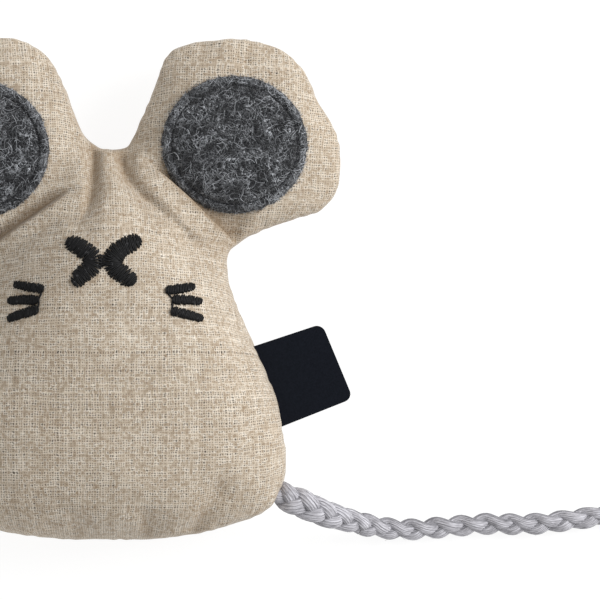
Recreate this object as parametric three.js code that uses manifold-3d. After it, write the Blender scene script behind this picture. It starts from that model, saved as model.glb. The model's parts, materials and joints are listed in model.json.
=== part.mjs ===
// A catnip mouse: a stuffed linen cat toy that lies on its back, in millimetres, +Z up.
// The origin is the middle of the flat patch that the back rests on.
// +Y points at the ears, and +X to the side that carries the label and the tail.
import * as THREE from "three";
import { mergeVertices } from "three/addons/utils/BufferGeometryUtils.js";
import Module from "manifold-3d";

const wasm = await Module();
wasm.setup();

// Clearances
const TOUCH_GAP = 0.3; // between pieces that touch
const FLAT_CUT = 0.5; // how deep the rounded back is pressed flat where it lies
const MERGE_WITHIN = 1e-4; // points of a surface closer than this are one point

// Body outline, seen from the front
const FOOT_REACH = 45.1; // origin down to the lower edge
const HIP_DROP = 23.75; // origin down to the widest line
const HIP_HALF_WIDTH = 45;
const NECK_RISE = 24; // origin up to the narrowest line, below the ears
const NECK_HALF_WIDTH = 30.5;
const CROWN_RISE = 53; // origin up to the notch between the ears
const FOOT_ROUNDNESS = 2.6; // exponent of the foot's superellipse
const CROWN_ROUNDNESS = 1.7; // exponent of the crown's superellipse
const FLANK_EASE = 0.85; // under 1, the flank swings out early

// Body stuffing
const BODY_FRONT_SWELL = 24.5; // seam to the fullest point of the front
const BODY_BACK_SWELL = 17;
const BODY_FRONT_FULLNESS = 2.3; // 2 is an ellipse, more is fuller
const BODY_BACK_FULLNESS = 4.2;

// Ears, measured from the root line where they fold
const EAR_ROOT_ACROSS = 18; // symmetry line to the middle of the root line
const EAR_ROOT_RISE = 39.5;
const EAR_SPLAY = 43.4; // degrees from +X to the way the ear points
const EAR_LENGTH = 45.4; // root line to tip
const EAR_WIDEST_AT = 27; // root line to the widest line
const EAR_HALF_WIDTH = 27;
const EAR_ROOT_HALF_WIDTH = 18.3;
const EAR_SWELL = 8.5; // seam to the fullest point, front and back alike
const EAR_SWELL_AT = 21; // root line to the fullest point
const EAR_FULLNESS = 2.6;
const EAR_TUCK = 13; // how far the lobe would run on behind the root line
const EAR_FOLD_RANGE = 30; // degrees, forward and back

// Cloth, felt and thread
const LINEN = 0.6;
const FELT_RADIUS = 17.9;
const FELT_FROM_ROOT = 20; // root line to the disc's middle
const FELT_THICKNESS = 1.6;
const FELT_STITCH_INSET = 2.4; // felt edge to the topstitch ring
const FELT_STITCH_THREAD = 0.6;

// Embroidery on the front
const STITCH_HEIGHT = 0.9;
const NOSE_RISE = 24.6; // origin up to where the two arcs meet
const NOSE_HALF_WIDTH = 8.6; // symmetry line to the ends of an arc
const NOSE_HALF_HEIGHT = 5.4;
const NOSE_STROKE = 3.2;
const WHISKER_STROKE = 1.9;
const WHISKERS = {
  upper: { inner: [15.4, 17.6], outer: [22.4, 18.6] },
  middle: { inner: [16.5, 15.1], outer: [24.1, 14.7] },
  lower: { inner: [16.6, 12.5], outer: [24.2, 10.3] },
};

// Label in the right side seam
const LABEL_DROP = 6.5; // origin down to the label's middle
const LABEL_WIDTH = 20.5;
const LABEL_LENGTH = 17.5; // seam to the outer edge
const LABEL_TUCK = 7; // sewn in behind the seam
const LABEL_THICKNESS = 0.8;
const LABEL_CORNER = 2.2;

// Tail
const TAIL_DIAMETER = 6;
const TAIL_EXIT_RISE = 12.1; // the body's lower edge up to where it leaves the seam
const TAIL_TUCK = 12; // sewn in behind the seam
const TAIL_STEP = 7; // along the tube
// Rows: to the right of the tail's pivot, up from it, and share of the seam's height over the table.
const TAIL_NEAR_ROUTE = [
  [0, 0, 1],
  [4.5, -1.8, 0.97],
  [9, -3.7, 0.8],
  [14.9, -5.4, 0.48],
  [21, -6.9, 0.17],
  [27.8, -7.6, 0.02],
  [34, -7.3, 0],
  [40.5, -6.75, 0],
  [50.3, -5.9, 0],
];
const TAIL_FAR_ROUTE = [
  [56.7, -5.8, 0],
  [63.1, -5.4, 0],
  [70, -4.6, 0],
  [77.75, -3.5, 0],
  [85, -2, 0],
  [92, 0.5, 0],
  [98, 4.5, 0],
  [102.5, 10, 0.05],
  [105, 17, 0.15],
  [105.3, 24, 0.16],
];
const KNOT_RADIUS = 5;
const KNOT_LENGTH = 9;
const KNOT_ENDS = 0.7; // radius of the knot's end faces, as a share
const KNOT_ROUNDING = 0.3; // share of the knot's length that each end rounds over
const TUFT_RADIUS = 4.4;
const TUFT_LENGTH = 15;
const TUFT_START = 0.6; // radius at the knot, as a share
const TUFT_WIDEST_AT = 0.7; // share of the tuft's length
const TUFT_TIP = 0.8; // radius at the tip, as a share

// Catnip pouch, lying along Y in the middle of the filling
const POUCH_RADIUS = 11;
const POUCH_DROP = 4; // origin down to the bag's middle
const POUCH_CLOTH = 0.5;
const POUCH_NECK_RADIUS = 3;
const POUCH_NECK_LENGTH = 6;
const POUCH_GATHER_ANGLE = 150; // degrees from the bag's bottom to where the cloth is gathered
const POUCH_TIE = 1; // tie thread
const CATNIP_FILL_ANGLE = 125; // degrees from the bag's bottom to the herb's edge

// Counts of facets
const FOOT_STEPS = 6;
const FLANK_STEPS = 6;
const CROWN_STEPS = 6;
const EAR_TIP_STEPS = 11;
const EAR_SIDE_STEPS = 4;
const EAR_TUCK_STEPS = 5;
const BODY_RINGS = 6;
const EAR_RINGS = 5;
const STROKE_STEPS = 8;
const STROKE_END_STEPS = 4;
const FELT_SIDES = 36;
const ROUND_SIDES = 18;
const BAG_STEPS = 8;
const THREAD_SIDES = 6;
const CORNER_STEPS = 6;
const TAIL_SIDES = 10;
const LENGTH_STEPS = 40; // between two rows of the tail's route, to measure along it

// Worked out from the sizes above
const SEAM_LEVEL = BODY_BACK_SWELL - FLAT_CUT;
const TAIL_RADIUS = TAIL_DIAMETER / 2;
const LABEL_ROUND = LABEL_THICKNESS / 2;
const FAR = 4 * (FOOT_REACH + CROWN_RISE); // past every piece, for cutting

const linen = new THREE.MeshStandardMaterial({ color: 0xc7b9a3, roughness: 0.95, metalness: 0 });
const wadding = new THREE.MeshStandardMaterial({ color: 0xf2f0ea, roughness: 1, metalness: 0 });
const felt = new THREE.MeshStandardMaterial({ color: 0x505256, roughness: 1, metalness: 0 });
const greyThread = new THREE.MeshStandardMaterial({ color: 0x6a6c70, roughness: 0.8, metalness: 0 });
const blackThread = new THREE.MeshStandardMaterial({ color: 0x1c1c1f, roughness: 0.55, metalness: 0 });
const labelTape = new THREE.MeshStandardMaterial({ color: 0x171a20, roughness: 0.5, metalness: 0 });
const cotton = new THREE.MeshStandardMaterial({ color: 0xa6a4aa, roughness: 0.9, metalness: 0 });
const muslin = new THREE.MeshStandardMaterial({ color: 0xe9e4d6, roughness: 0.95, metalness: 0 });
const herb = new THREE.MeshStandardMaterial({ color: 0x7b7f4e, roughness: 1, metalness: 0 });

const mouse = new THREE.Group();
mouse.name = "catnip_mouse";

// A closed geometry as a solid, with its shared points merged.
function solid(geometry) {
  const bare = new THREE.BufferGeometry();
  bare.setAttribute("position", geometry.getAttribute("position"));
  bare.setIndex(geometry.getIndex());
  const merged = mergeVertices(bare, MERGE_WITHIN);
  const vertProperties = merged.getAttribute("position").array;
  const triVerts = new Uint32Array(merged.getIndex().array);
  return new wasm.Manifold(new wasm.Mesh({ numProp: 3, vertProperties, triVerts }));
}

// Adds a solid to the mouse as a named mesh.
function add(name, shape, material) {
  const made = shape.getMesh();
  const geometry = new THREE.BufferGeometry();
  geometry.setAttribute("position", new THREE.BufferAttribute(made.vertProperties, 3));
  geometry.setIndex(new THREE.BufferAttribute(made.triVerts, 1));
  geometry.computeVertexNormals();
  const mesh = new THREE.Mesh(geometry, material);
  mesh.name = name;
  mouse.add(mesh);
}

// A flat shape pulled out along its own normal, then set in a frame of three axes.
function prism(shape, depth, origin, along, up) {
  const options = { depth, bevelEnabled: false, curveSegments: CORNER_STEPS };
  const geometry = new THREE.ExtrudeGeometry(shape, options);
  const normal = new THREE.Vector3().crossVectors(along, up);
  const frame = new THREE.Matrix4().makeBasis(along, up, normal).setPosition(origin);
  return solid(geometry.applyMatrix4(frame));
}

const polygon = (points) => new THREE.Shape(points.map(([x, y]) => new THREE.Vector2(x, y)));
const smooth = (t) => t * t * (3 - 2 * t);
const X_AXIS = new THREE.Vector3(1, 0, 0);
const Y_AXIS = new THREE.Vector3(0, 1, 0);
const Z_AXIS = new THREE.Vector3(0, 0, 1);

// Everything over a level.
function above(level) {
  const square = polygon([[-FAR, -FAR], [FAR, -FAR], [FAR, FAR], [-FAR, FAR]]);
  return prism(square, FAR, new THREE.Vector3(0, 0, level), X_AXIS, Y_AXIS);
}

// Half width of the body at the foot, and the outward direction there.
function footEdge(drop) {
  const depth = FOOT_REACH - HIP_DROP;
  const share = (drop - HIP_DROP) / depth;
  const width = HIP_HALF_WIDTH * (1 - share ** FOOT_ROUNDNESS) ** (1 / FOOT_ROUNDNESS);
  const across = (width / HIP_HALF_WIDTH) ** (FOOT_ROUNDNESS - 1) / HIP_HALF_WIDTH;
  const down = share ** (FOOT_ROUNDNESS - 1) / depth;
  return { width, out: new THREE.Vector3(across, -down, 0).normalize() };
}

// Half width of the body between hip and neck.
function flankWidth(y) {
  const t = THREE.MathUtils.clamp((NECK_RISE - y) / (NECK_RISE + HIP_DROP), 0, 1);
  return NECK_HALF_WIDTH + (HIP_HALF_WIDTH - NECK_HALF_WIDTH) * smooth(t ** FLANK_EASE);
}

// The body's outline, counter-clockwise from the middle of its foot.
function bodyOutline() {
  const right = [];
  const footPower = 2 / FOOT_ROUNDNESS;
  const crownPower = 2 / CROWN_ROUNDNESS;
  for (let i = 0; i <= FOOT_STEPS; i++) {
    const a = (i / FOOT_STEPS) * (Math.PI / 2);
    const drop = HIP_DROP + (FOOT_REACH - HIP_DROP) * Math.cos(a) ** footPower;
    right.push([HIP_HALF_WIDTH * Math.sin(a) ** footPower, -drop]);
  }
  for (let i = 1; i <= FLANK_STEPS; i++) {
    const y = -HIP_DROP + (i / FLANK_STEPS) * (NECK_RISE + HIP_DROP);
    right.push([flankWidth(y), y]);
  }
  for (let i = 1; i <= CROWN_STEPS; i++) {
    const a = (i / CROWN_STEPS) * (Math.PI / 2);
    const rise = NECK_RISE + (CROWN_RISE - NECK_RISE) * Math.sin(a) ** crownPower;
    right.push([Math.max(0, NECK_HALF_WIDTH * Math.cos(a) ** crownPower), rise]);
  }
  const left = right.slice(1, -1).map(([x, y]) => [-x, y]);
  return [...right, ...left.reverse()];
}

// A place on an ear, from its distance out of the root line and along it, as a plan point.
function onEar(side, out, along) {
  const splay = THREE.MathUtils.degToRad(EAR_SPLAY);
  const across = EAR_ROOT_ACROSS + out * Math.cos(splay) + along * Math.sin(splay);
  const rise = EAR_ROOT_RISE + out * Math.sin(splay) - along * Math.cos(splay);
  return [side * across, rise];
}

// An ear's outline, counter-clockwise, with the lobe run on behind the root line.
function earOutline(side) {
  const local = [];
  const widening = EAR_HALF_WIDTH - EAR_ROOT_HALF_WIDTH;
  for (let i = 0; i <= EAR_TIP_STEPS; i++) {
    const a = (i / EAR_TIP_STEPS) * Math.PI;
    const out = EAR_WIDEST_AT + (EAR_LENGTH - EAR_WIDEST_AT) * Math.sin(a);
    local.push([out, EAR_HALF_WIDTH * Math.cos(a)]);
  }
  for (let i = 1; i <= EAR_SIDE_STEPS; i++) {
    const t = 1 - i / EAR_SIDE_STEPS;
    local.push([EAR_WIDEST_AT * t, -(EAR_ROOT_HALF_WIDTH + widening * smooth(t))]);
  }
  for (let i = 1; i <= EAR_TUCK_STEPS; i++) {
    const a = (i / EAR_TUCK_STEPS) * Math.PI;
    local.push([-EAR_TUCK * Math.sin(a), -EAR_ROOT_HALF_WIDTH * Math.cos(a)]);
  }
  for (let i = 1; i < EAR_SIDE_STEPS; i++) {
    const t = i / EAR_SIDE_STEPS;
    local.push([EAR_WIDEST_AT * t, EAR_ROOT_HALF_WIDTH + widening * smooth(t)]);
  }
  const plan = local.map(([out, along]) => onEar(side, out, along));
  return side > 0 ? plan : plan.reverse();
}

// A stuffed form: its outline, its fullest point, and how it swells in front (+1) and behind (-1).
const bodyForm = {
  outline: bodyOutline(),
  centre: [0, 0],
  rings: BODY_RINGS,
  swell: { 1: BODY_FRONT_SWELL, [-1]: BODY_BACK_SWELL },
  fullness: { 1: BODY_FRONT_FULLNESS, [-1]: BODY_BACK_FULLNESS },
  folds: (inset) => [foldRoom(1, inset), foldRoom(-1, inset)],
};
const earForm = (side) => ({
  outline: earOutline(side),
  centre: onEar(side, EAR_SWELL_AT, 0),
  rings: EAR_RINGS,
  swell: { 1: EAR_SWELL, [-1]: EAR_SWELL },
  fullness: { 1: EAR_FULLNESS, [-1]: EAR_FULLNESS },
  folds: (inset) => [behindRoot(side, inset)],
});

const swellAt = (share, fullness) => Math.sqrt(Math.max(0, 1 - share ** fullness));

// Half of a stuffed form, drawn in all round by an inset, with its open side past the seam by a reach.
function halfForm(form, face, inset, reach) {
  const [cx, cy] = form.centre;
  const count = form.outline.length;
  const rim = form.outline.map(([x, y]) => {
    const length = Math.hypot(x - cx, y - cy);
    return [((x - cx) * (length - inset)) / length, ((y - cy) * (length - inset)) / length];
  });
  const swell = form.swell[face] - inset;
  const positions = [cx, cy, SEAM_LEVEL + face * swell];
  const index = [];
  const triangle = (a, b, c) => index.push(...(face > 0 ? [a, b, c] : [a, c, b]));
  for (let k = 1; k <= form.rings; k++) {
    const share = Math.sin((k / form.rings) * (Math.PI / 2));
    const height = k < form.rings ? swell * swellAt(share, form.fullness[face]) : -reach;
    const level = SEAM_LEVEL + face * height;
    rim.forEach(([x, y]) => positions.push(cx + x * share, cy + y * share, level));
    for (let i = 0; i < count; i++) {
      const next = (i + 1) % count;
      const outer = 1 + (k - 1) * count;
      if (k === 1) {
        triangle(0, outer + i, outer + next);
      } else {
        triangle(outer - count + i, outer + i, outer + next);
        triangle(outer - count + i, outer + next, outer - count + next);
      }
    }
  }
  const last = 1 + (form.rings - 1) * count;
  const middle = positions.length / 3;
  positions.push(cx, cy, SEAM_LEVEL - face * reach);
  for (let i = 0; i < count; i++) triangle(middle, last + ((i + 1) % count), last + i);
  const geometry = new THREE.BufferGeometry();
  geometry.setAttribute("position", new THREE.Float32BufferAttribute(positions, 3));
  geometry.setIndex(index);
  return solid(geometry);
}

const cutAll = (shape, cutters) => cutters.reduce((left, cutter) => left.subtract(cutter), shape);

// Half of a form drawn in by an inset, pressed flat where it lies and cut where cloth folds in at an ear.
function stuffing(form, face, inset, reach) {
  return cutAll(halfForm(form, face, inset, reach).intersect(above(inset)), form.folds(inset));
}

// One sewn panel: a curved sheet of linen over half of a form, its edge at the seam.
function panel(form, face) {
  return stuffing(form, face, 0, -TOUCH_GAP / 2).subtract(stuffing(form, face, LINEN, LINEN));
}

// The filling behind a panel.
function wad(form, face, reach) {
  return stuffing(form, face, LINEN + TOUCH_GAP, reach);
}

// What lies on a form's front: a sheet of a thickness, just off the linen, cut to a plan shape.
function patch(form, shape, thickness) {
  const over = halfForm(form, 1, -TOUCH_GAP - thickness, 0);
  const under = halfForm(form, 1, -TOUCH_GAP, TOUCH_GAP + thickness);
  const cut = prism(shape, FAR, new THREE.Vector3(0, 0, SEAM_LEVEL), X_AXIS, Y_AXIS);
  return over.subtract(under).intersect(cut);
}

// Height of a form's front over a plan point, with the form drawn in all round by an inset.
function frontHeight(form, inset, x, y) {
  const [cx, cy] = form.centre;
  const count = form.outline.length;
  const turn = (ax, ay, bx, by) => ax * by - ay * bx;
  const start = form.outline.findIndex(([ax, ay], i) => {
    const [bx, by] = form.outline[(i + 1) % count];
    return turn(ax - cx, ay - cy, x - cx, y - cy) >= 0 && turn(x - cx, y - cy, bx - cx, by - cy) > 0;
  });
  const [ax, ay] = form.outline[start];
  const [bx, by] = form.outline[(start + 1) % count];
  const share = 1 - turn(bx - ax, by - ay, x - ax, y - ay) / turn(bx - ax, by - ay, cx - ax, cy - ay);
  const length = Math.hypot(x - cx, y - cy);
  const drawnIn = length / (length / share - inset);
  return SEAM_LEVEL + (form.swell[1] - inset) * swellAt(drawnIn, form.fullness[1]);
}

// The way an ear points, as a direction.
const earHeading = (side) => {
  const splay = THREE.MathUtils.degToRad(EAR_SPLAY);
  return new THREE.Vector3(side * Math.cos(splay), Math.sin(splay), 0);
};

// A cut along an ear's root line: a section in the plane of the ear's heading and +Z.
function rootCut(side, section) {
  const heading = earHeading(side);
  const sideways = new THREE.Vector3().crossVectors(heading, Z_AXIS);
  const [x, y] = onEar(side, 0, 0);
  const origin = new THREE.Vector3(x, y, SEAM_LEVEL).addScaledVector(sideways, -FAR / 2);
  return prism(polygon(section), FAR, origin, heading, Z_AXIS);
}

// What an ear needs clear of the body to fold through its range, grown by an inset.
function foldRoom(side, inset) {
  const range = THREE.MathUtils.degToRad(EAR_FOLD_RANGE);
  const lean = FAR * Math.tan(range);
  const start = -TOUCH_GAP / 2 - inset / Math.cos(range);
  return rootCut(side, [
    [start, 0],
    [start - lean, -FAR],
    [FAR, -FAR],
    [FAR, FAR],
    [start - lean, FAR],
  ]);
}

// What lies behind an ear's root line, grown by an inset.
function behindRoot(side, inset) {
  const start = TOUCH_GAP / 2 + inset;
  return rootCut(side, [[-FAR, -FAR], [start, -FAR], [start, FAR], [-FAR, FAR]]);
}

// The outline of a stitched stroke of even width along a plan curve, with round ends.
function strokeShape(curve, width) {
  const points = [];
  const at = (t, turn) => {
    const p = curve.getPoint(t);
    const heading = curve.getTangent(t).angle() + turn;
    points.push([p.x + (width / 2) * Math.cos(heading), p.y + (width / 2) * Math.sin(heading)]);
  };
  for (let i = 0; i <= STROKE_STEPS; i++) at(i / STROKE_STEPS, -Math.PI / 2);
  for (let i = 1; i < STROKE_END_STEPS; i++) at(1, -Math.PI / 2 + (i / STROKE_END_STEPS) * Math.PI);
  for (let i = STROKE_STEPS; i >= 0; i--) at(i / STROKE_STEPS, Math.PI / 2);
  for (let i = 1; i < STROKE_END_STEPS; i++) at(0, Math.PI / 2 + (i / STROKE_END_STEPS) * Math.PI);
  return polygon(points);
}

// Where the label meets the flank, the way it runs along the seam, and the way it points
const labelSeam = new THREE.Vector3(flankWidth(-LABEL_DROP), -LABEL_DROP, SEAM_LEVEL);
const labelUp = new THREE.Vector3(
  flankWidth(-LABEL_DROP + LABEL_WIDTH / 2) - flankWidth(-LABEL_DROP - LABEL_WIDTH / 2),
  LABEL_WIDTH,
  0,
).normalize();
const labelOut = new THREE.Vector3().crossVectors(labelUp, Z_AXIS);

// The hinge line stands just clear of the flank's fullest point along the label.
function labelHinge() {
  let reach = 0;
  for (let i = -STROKE_STEPS; i <= STROKE_STEPS; i++) {
    const y = -LABEL_DROP + ((i / STROKE_STEPS) * LABEL_WIDTH) / 2;
    const edge = new THREE.Vector3(flankWidth(y), y, SEAM_LEVEL).sub(labelSeam);
    reach = Math.max(reach, edge.dot(labelOut));
  }
  return labelSeam.clone().addScaledVector(labelOut, reach + LABEL_ROUND + TOUCH_GAP);
}

// A plate in the label's plane from one distance out of its hinge to another, with its far corners rounded
// and with its faces and sides grown by a margin.
function labelPlate(from, to, corner, margin) {
  const half = LABEL_WIDTH / 2 + margin;
  const shape = new THREE.Shape();
  shape.moveTo(from, -half);
  shape.lineTo(to - corner, -half);
  shape.quadraticCurveTo(to, -half, to, -half + corner);
  shape.lineTo(to, half - corner);
  shape.quadraticCurveTo(to, half, to - corner, half);
  shape.lineTo(from, half);
  const thickness = LABEL_THICKNESS + 2 * margin;
  const origin = labelHinge().addScaledVector(Z_AXIS, -thickness / 2);
  return prism(shape, thickness, origin, labelOut, labelUp);
}

// A straight round bar between two points.
function bar(from, to, radius) {
  const length = from.distanceTo(to);
  const geometry = new THREE.CylinderGeometry(radius, radius, length, TAIL_SIDES);
  const turn = new THREE.Quaternion().setFromUnitVectors(Y_AXIS, to.clone().sub(from).normalize());
  geometry.applyQuaternion(turn);
  const middle = from.clone().lerp(to, 0.5);
  return solid(geometry.translate(middle.x, middle.y, middle.z));
}

// A turned profile of radius and height rows, closed on its axis, set along a direction.
function turned(profile, origin, direction) {
  const points = profile.map(([r, h]) => new THREE.Vector2(Math.max(0, r), h));
  const geometry = new THREE.LatheGeometry(points, ROUND_SIDES);
  geometry.applyQuaternion(new THREE.Quaternion().setFromUnitVectors(Y_AXIS, direction));
  return solid(geometry.translate(origin.x, origin.y, origin.z));
}

// The tail's seam end, its pivot just outside the seam, and its route from there.
const tailDrop = FOOT_REACH - TAIL_EXIT_RISE;
const tailEdge = footEdge(tailDrop);
const tailExit = new THREE.Vector3(tailEdge.width, -tailDrop, SEAM_LEVEL);
const tailPivot = tailExit.clone().addScaledVector(tailEdge.out, TAIL_RADIUS + TOUCH_GAP);
const tailInner = tailExit.clone().addScaledVector(tailEdge.out, -TAIL_TUCK);
const tailPoints = [...TAIL_NEAR_ROUTE, ...TAIL_FAR_ROUTE].map(
  ([right, up, share]) =>
    new THREE.Vector3(
      tailPivot.x + right,
      tailPivot.y + up,
      TAIL_RADIUS + share * (SEAM_LEVEL - TAIL_RADIUS),
    ),
);
const tailCurve = new THREE.CatmullRomCurve3(tailPoints, false, "centripetal");
tailCurve.arcLengthDivisions = (tailPoints.length - 1) * LENGTH_STEPS;
const tailBend = tailCurve.getLengths()[(TAIL_NEAR_ROUTE.length - 1) * LENGTH_STEPS];

// A stretch of the tail between two lengths along its curve, with a round start.
function tailStretch(from, to) {
  const total = tailCurve.getLength();
  const steps = Math.ceil((to - from) / TAIL_STEP);
  const route = [];
  for (let i = 0; i <= steps; i++) {
    const length = from + ((to - from) * i) / steps;
    route.push(tailCurve.getPointAt(Math.min(1, length / total)));
  }
  const section = new THREE.Shape();
  for (let i = 0; i < TAIL_SIDES; i++) {
    const a = (i / TAIL_SIDES) * 2 * Math.PI;
    const corner = [TAIL_RADIUS * Math.cos(a), TAIL_RADIUS * Math.sin(a)];
    if (i) section.lineTo(...corner);
    else section.moveTo(...corner);
  }
  const extrudePath = new THREE.CatmullRomCurve3(route, false, "centripetal");
  const tube = solid(new THREE.ExtrudeGeometry(section, { steps, extrudePath, bevelEnabled: false }));
  const ball = new THREE.SphereGeometry(TAIL_RADIUS, TAIL_SIDES, TAIL_SIDES / 2);
  const start = route[0];
  return tube.add(solid(ball.translate(start.x, start.y, start.z)));
}

// The pouch's outer profile, grown by a margin: a round bag gathered into a neck.
function bagProfile(margin) {
  const profile = [];
  const gather = THREE.MathUtils.degToRad(POUCH_GATHER_ANGLE);
  for (let i = 0; i <= BAG_STEPS; i++) {
    const a = (i / BAG_STEPS) * gather;
    profile.push([(POUCH_RADIUS + margin) * Math.sin(a), -(POUCH_RADIUS + margin) * Math.cos(a)]);
  }
  const gatherWidth = POUCH_RADIUS * Math.sin(gather);
  const neckStart = gatherWidth - POUCH_RADIUS * Math.cos(gather) - POUCH_NECK_RADIUS;
  profile.push([POUCH_NECK_RADIUS + margin, neckStart]);
  profile.push([POUCH_NECK_RADIUS + margin, neckStart + POUCH_NECK_LENGTH]);
  return profile;
}

const pouchAt = new THREE.Vector3(0, -POUCH_DROP, SEAM_LEVEL);
const pouchProfile = bagProfile(0);
const pouchMouth = pouchProfile.at(-1)[1];
const tieHeight = pouchMouth - POUCH_NECK_LENGTH / 2;
const tieRadius = POUCH_NECK_RADIUS + TOUCH_GAP + POUCH_TIE / 2;

// Everything that the body's filling and panels make room for
const tailHole = bar(
  tailInner.clone().addScaledVector(tailEdge.out, -TOUCH_GAP),
  tailPivot,
  TAIL_RADIUS + TOUCH_GAP,
);
const labelSlot = labelPlate(-LABEL_TUCK - TOUCH_GAP, LABEL_ROUND, 0, TOUCH_GAP);
const neckRoom = tieRadius + POUCH_TIE / 2 + TOUCH_GAP;
const roomProfile = [
  ...bagProfile(TOUCH_GAP).slice(0, -2),
  [neckRoom, pouchMouth - POUCH_NECK_LENGTH],
  [neckRoom, pouchMouth + TOUCH_GAP],
  [0, pouchMouth + TOUCH_GAP],
];
const pouchRoom = turned(roomProfile, pouchAt, Y_AXIS);
const fromBody = [tailHole, labelSlot];

// Body
add("body_front_panel", cutAll(panel(bodyForm, 1), fromBody), linen);
add("body_back_panel", cutAll(panel(bodyForm, -1), fromBody), linen);
add("body_front_filling", cutAll(wad(bodyForm, 1, -TOUCH_GAP / 2), [...fromBody, pouchRoom]), wadding);
add("body_back_filling", cutAll(wad(bodyForm, -1, -TOUCH_GAP / 2), [...fromBody, pouchRoom]), wadding);

// Catnip pouch
const inside = bagProfile(-POUCH_CLOTH).reverse();
inside[0][1] = pouchMouth;
add("catnip_pouch", turned([...pouchProfile, ...inside], pouchAt, Y_AXIS), muslin);
const herbRadius = POUCH_RADIUS - POUCH_CLOTH - TOUCH_GAP;
const herbProfile = [];
for (let i = 0; i <= BAG_STEPS; i++) {
  const a = (i / BAG_STEPS) * THREE.MathUtils.degToRad(CATNIP_FILL_ANGLE);
  herbProfile.push([herbRadius * Math.sin(a), -herbRadius * Math.cos(a)]);
}
herbProfile.push([0, herbProfile.at(-1)[1]]);
add("dried_catnip", turned(herbProfile, pouchAt, Y_AXIS), herb);
const tie = new THREE.TorusGeometry(tieRadius, POUCH_TIE / 2, THREAD_SIDES, ROUND_SIDES);
tie.rotateX(Math.PI / 2).translate(pouchAt.x, pouchAt.y + tieHeight, pouchAt.z);
add("pouch_tie", solid(tie), blackThread);

// Ears
for (const [name, side] of [["right", 1], ["left", -1]]) {
  const form = earForm(side);
  add(`${name}_ear_front_panel`, panel(form, 1), linen);
  add(`${name}_ear_back_panel`, panel(form, -1), linen);
  add(`${name}_ear_filling`, wad(form, 1, 0).add(wad(form, -1, 0)), wadding);

  const [fx, fy] = onEar(side, FELT_FROM_ROOT, 0);
  const circle = new THREE.Path().absarc(fx, fy, FELT_RADIUS, 0, 2 * Math.PI);
  const disc = new THREE.Shape(circle.getPoints(FELT_SIDES));
  add(`${name}_ear_felt`, patch(form, disc, FELT_THICKNESS), felt);

  const ringRadius = FELT_RADIUS - FELT_STITCH_INSET;
  const threadRadius = FELT_STITCH_THREAD / 2;
  const ring = new THREE.TorusGeometry(ringRadius, threadRadius, THREAD_SIDES, FELT_SIDES);
  const over = 2 * TOUCH_GAP + FELT_THICKNESS + threadRadius;
  const place = ring.translate(fx, fy, 0).getAttribute("position");
  for (let i = 0; i < place.count; i++) {
    place.setZ(i, place.getZ(i) + frontHeight(form, -over, place.getX(i), place.getY(i)));
  }
  add(`${name}_felt_topstitch`, solid(ring), greyThread);
}

// Nose and whiskers
for (const [name, side] of [["right", 1], ["left", -1]]) {
  const point = (x, y) => new THREE.Vector2(side * x, y);
  const near = (NOSE_STROKE + TOUCH_GAP) / 2;
  const control = point(2 * near - NOSE_HALF_WIDTH, NOSE_RISE);
  const top = point(NOSE_HALF_WIDTH, NOSE_RISE + NOSE_HALF_HEIGHT);
  const bottom = point(NOSE_HALF_WIDTH, NOSE_RISE - NOSE_HALF_HEIGHT);
  const arc = strokeShape(new THREE.QuadraticBezierCurve(top, control, bottom), NOSE_STROKE);
  add(`nose_stitch_${name}`, patch(bodyForm, arc, STITCH_HEIGHT), blackThread);
  for (const [level, { inner, outer }] of Object.entries(WHISKERS)) {
    const line = new THREE.LineCurve(point(...inner), point(...outer));
    const stroke = strokeShape(line, WHISKER_STROKE);
    add(`whisker_${name}_${level}`, patch(bodyForm, stroke, STITCH_HEIGHT), blackThread);
  }
}

// Label: the flap, with a round edge on its hinge line, and the end that is sewn in
const hinge = labelHinge();
const halfLabel = labelUp.clone().multiplyScalar(LABEL_WIDTH / 2);
const labelEdge = bar(hinge.clone().sub(halfLabel), hinge.clone().add(halfLabel), LABEL_ROUND);
const flap = labelPlate(0, LABEL_LENGTH, LABEL_CORNER, 0);
add("side_label", flap.add(labelEdge), labelTape);
add("label_seam_end", labelPlate(-LABEL_TUCK, -LABEL_ROUND - TOUCH_GAP, 0, 0), labelTape);

// Tail
add("tail_seam_end", bar(tailInner, tailExit, TAIL_RADIUS), cotton);
add("tail_near", tailStretch(0, tailBend - TAIL_RADIUS - TOUCH_GAP), cotton);
add("tail_far", tailStretch(tailBend, tailCurve.getLength()), cotton);
const tailEnd = tailCurve.getPointAt(1);
const endHeading = tailCurve.getTangentAt(1).setZ(0).normalize();
const knotProfile = [
  [0, 0],
  [KNOT_ENDS * KNOT_RADIUS, 0],
  [KNOT_RADIUS, KNOT_ROUNDING * KNOT_LENGTH],
  [KNOT_RADIUS, (1 - KNOT_ROUNDING) * KNOT_LENGTH],
  [KNOT_ENDS * KNOT_RADIUS, KNOT_LENGTH],
  [0, KNOT_LENGTH],
];
const knotStart = tailEnd.clone().addScaledVector(endHeading, TOUCH_GAP);
add("tail_knot", turned(knotProfile, knotStart, endHeading), cotton);
const tuftProfile = [
  [0, 0],
  [TUFT_START * TUFT_RADIUS, 0],
  [TUFT_RADIUS, TUFT_WIDEST_AT * TUFT_LENGTH],
  [TUFT_TIP * TUFT_RADIUS, TUFT_LENGTH],
  [0, TUFT_LENGTH],
];
const tuftStart = knotStart.clone().addScaledVector(endHeading, KNOT_LENGTH + TOUCH_GAP);
add("tail_tuft", turned(tuftProfile, tuftStart, endHeading), cotton);

export default mouse;
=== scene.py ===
import json
import math

import bmesh
import bpy
import numpy as np
from bpy.props import FloatProperty, FloatVectorProperty, IntProperty, PointerProperty
from mathutils import Matrix, Vector
from mathutils.bvhtree import BVHTree
from mathutils.geometry import delaunay_2d_cdt


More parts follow.
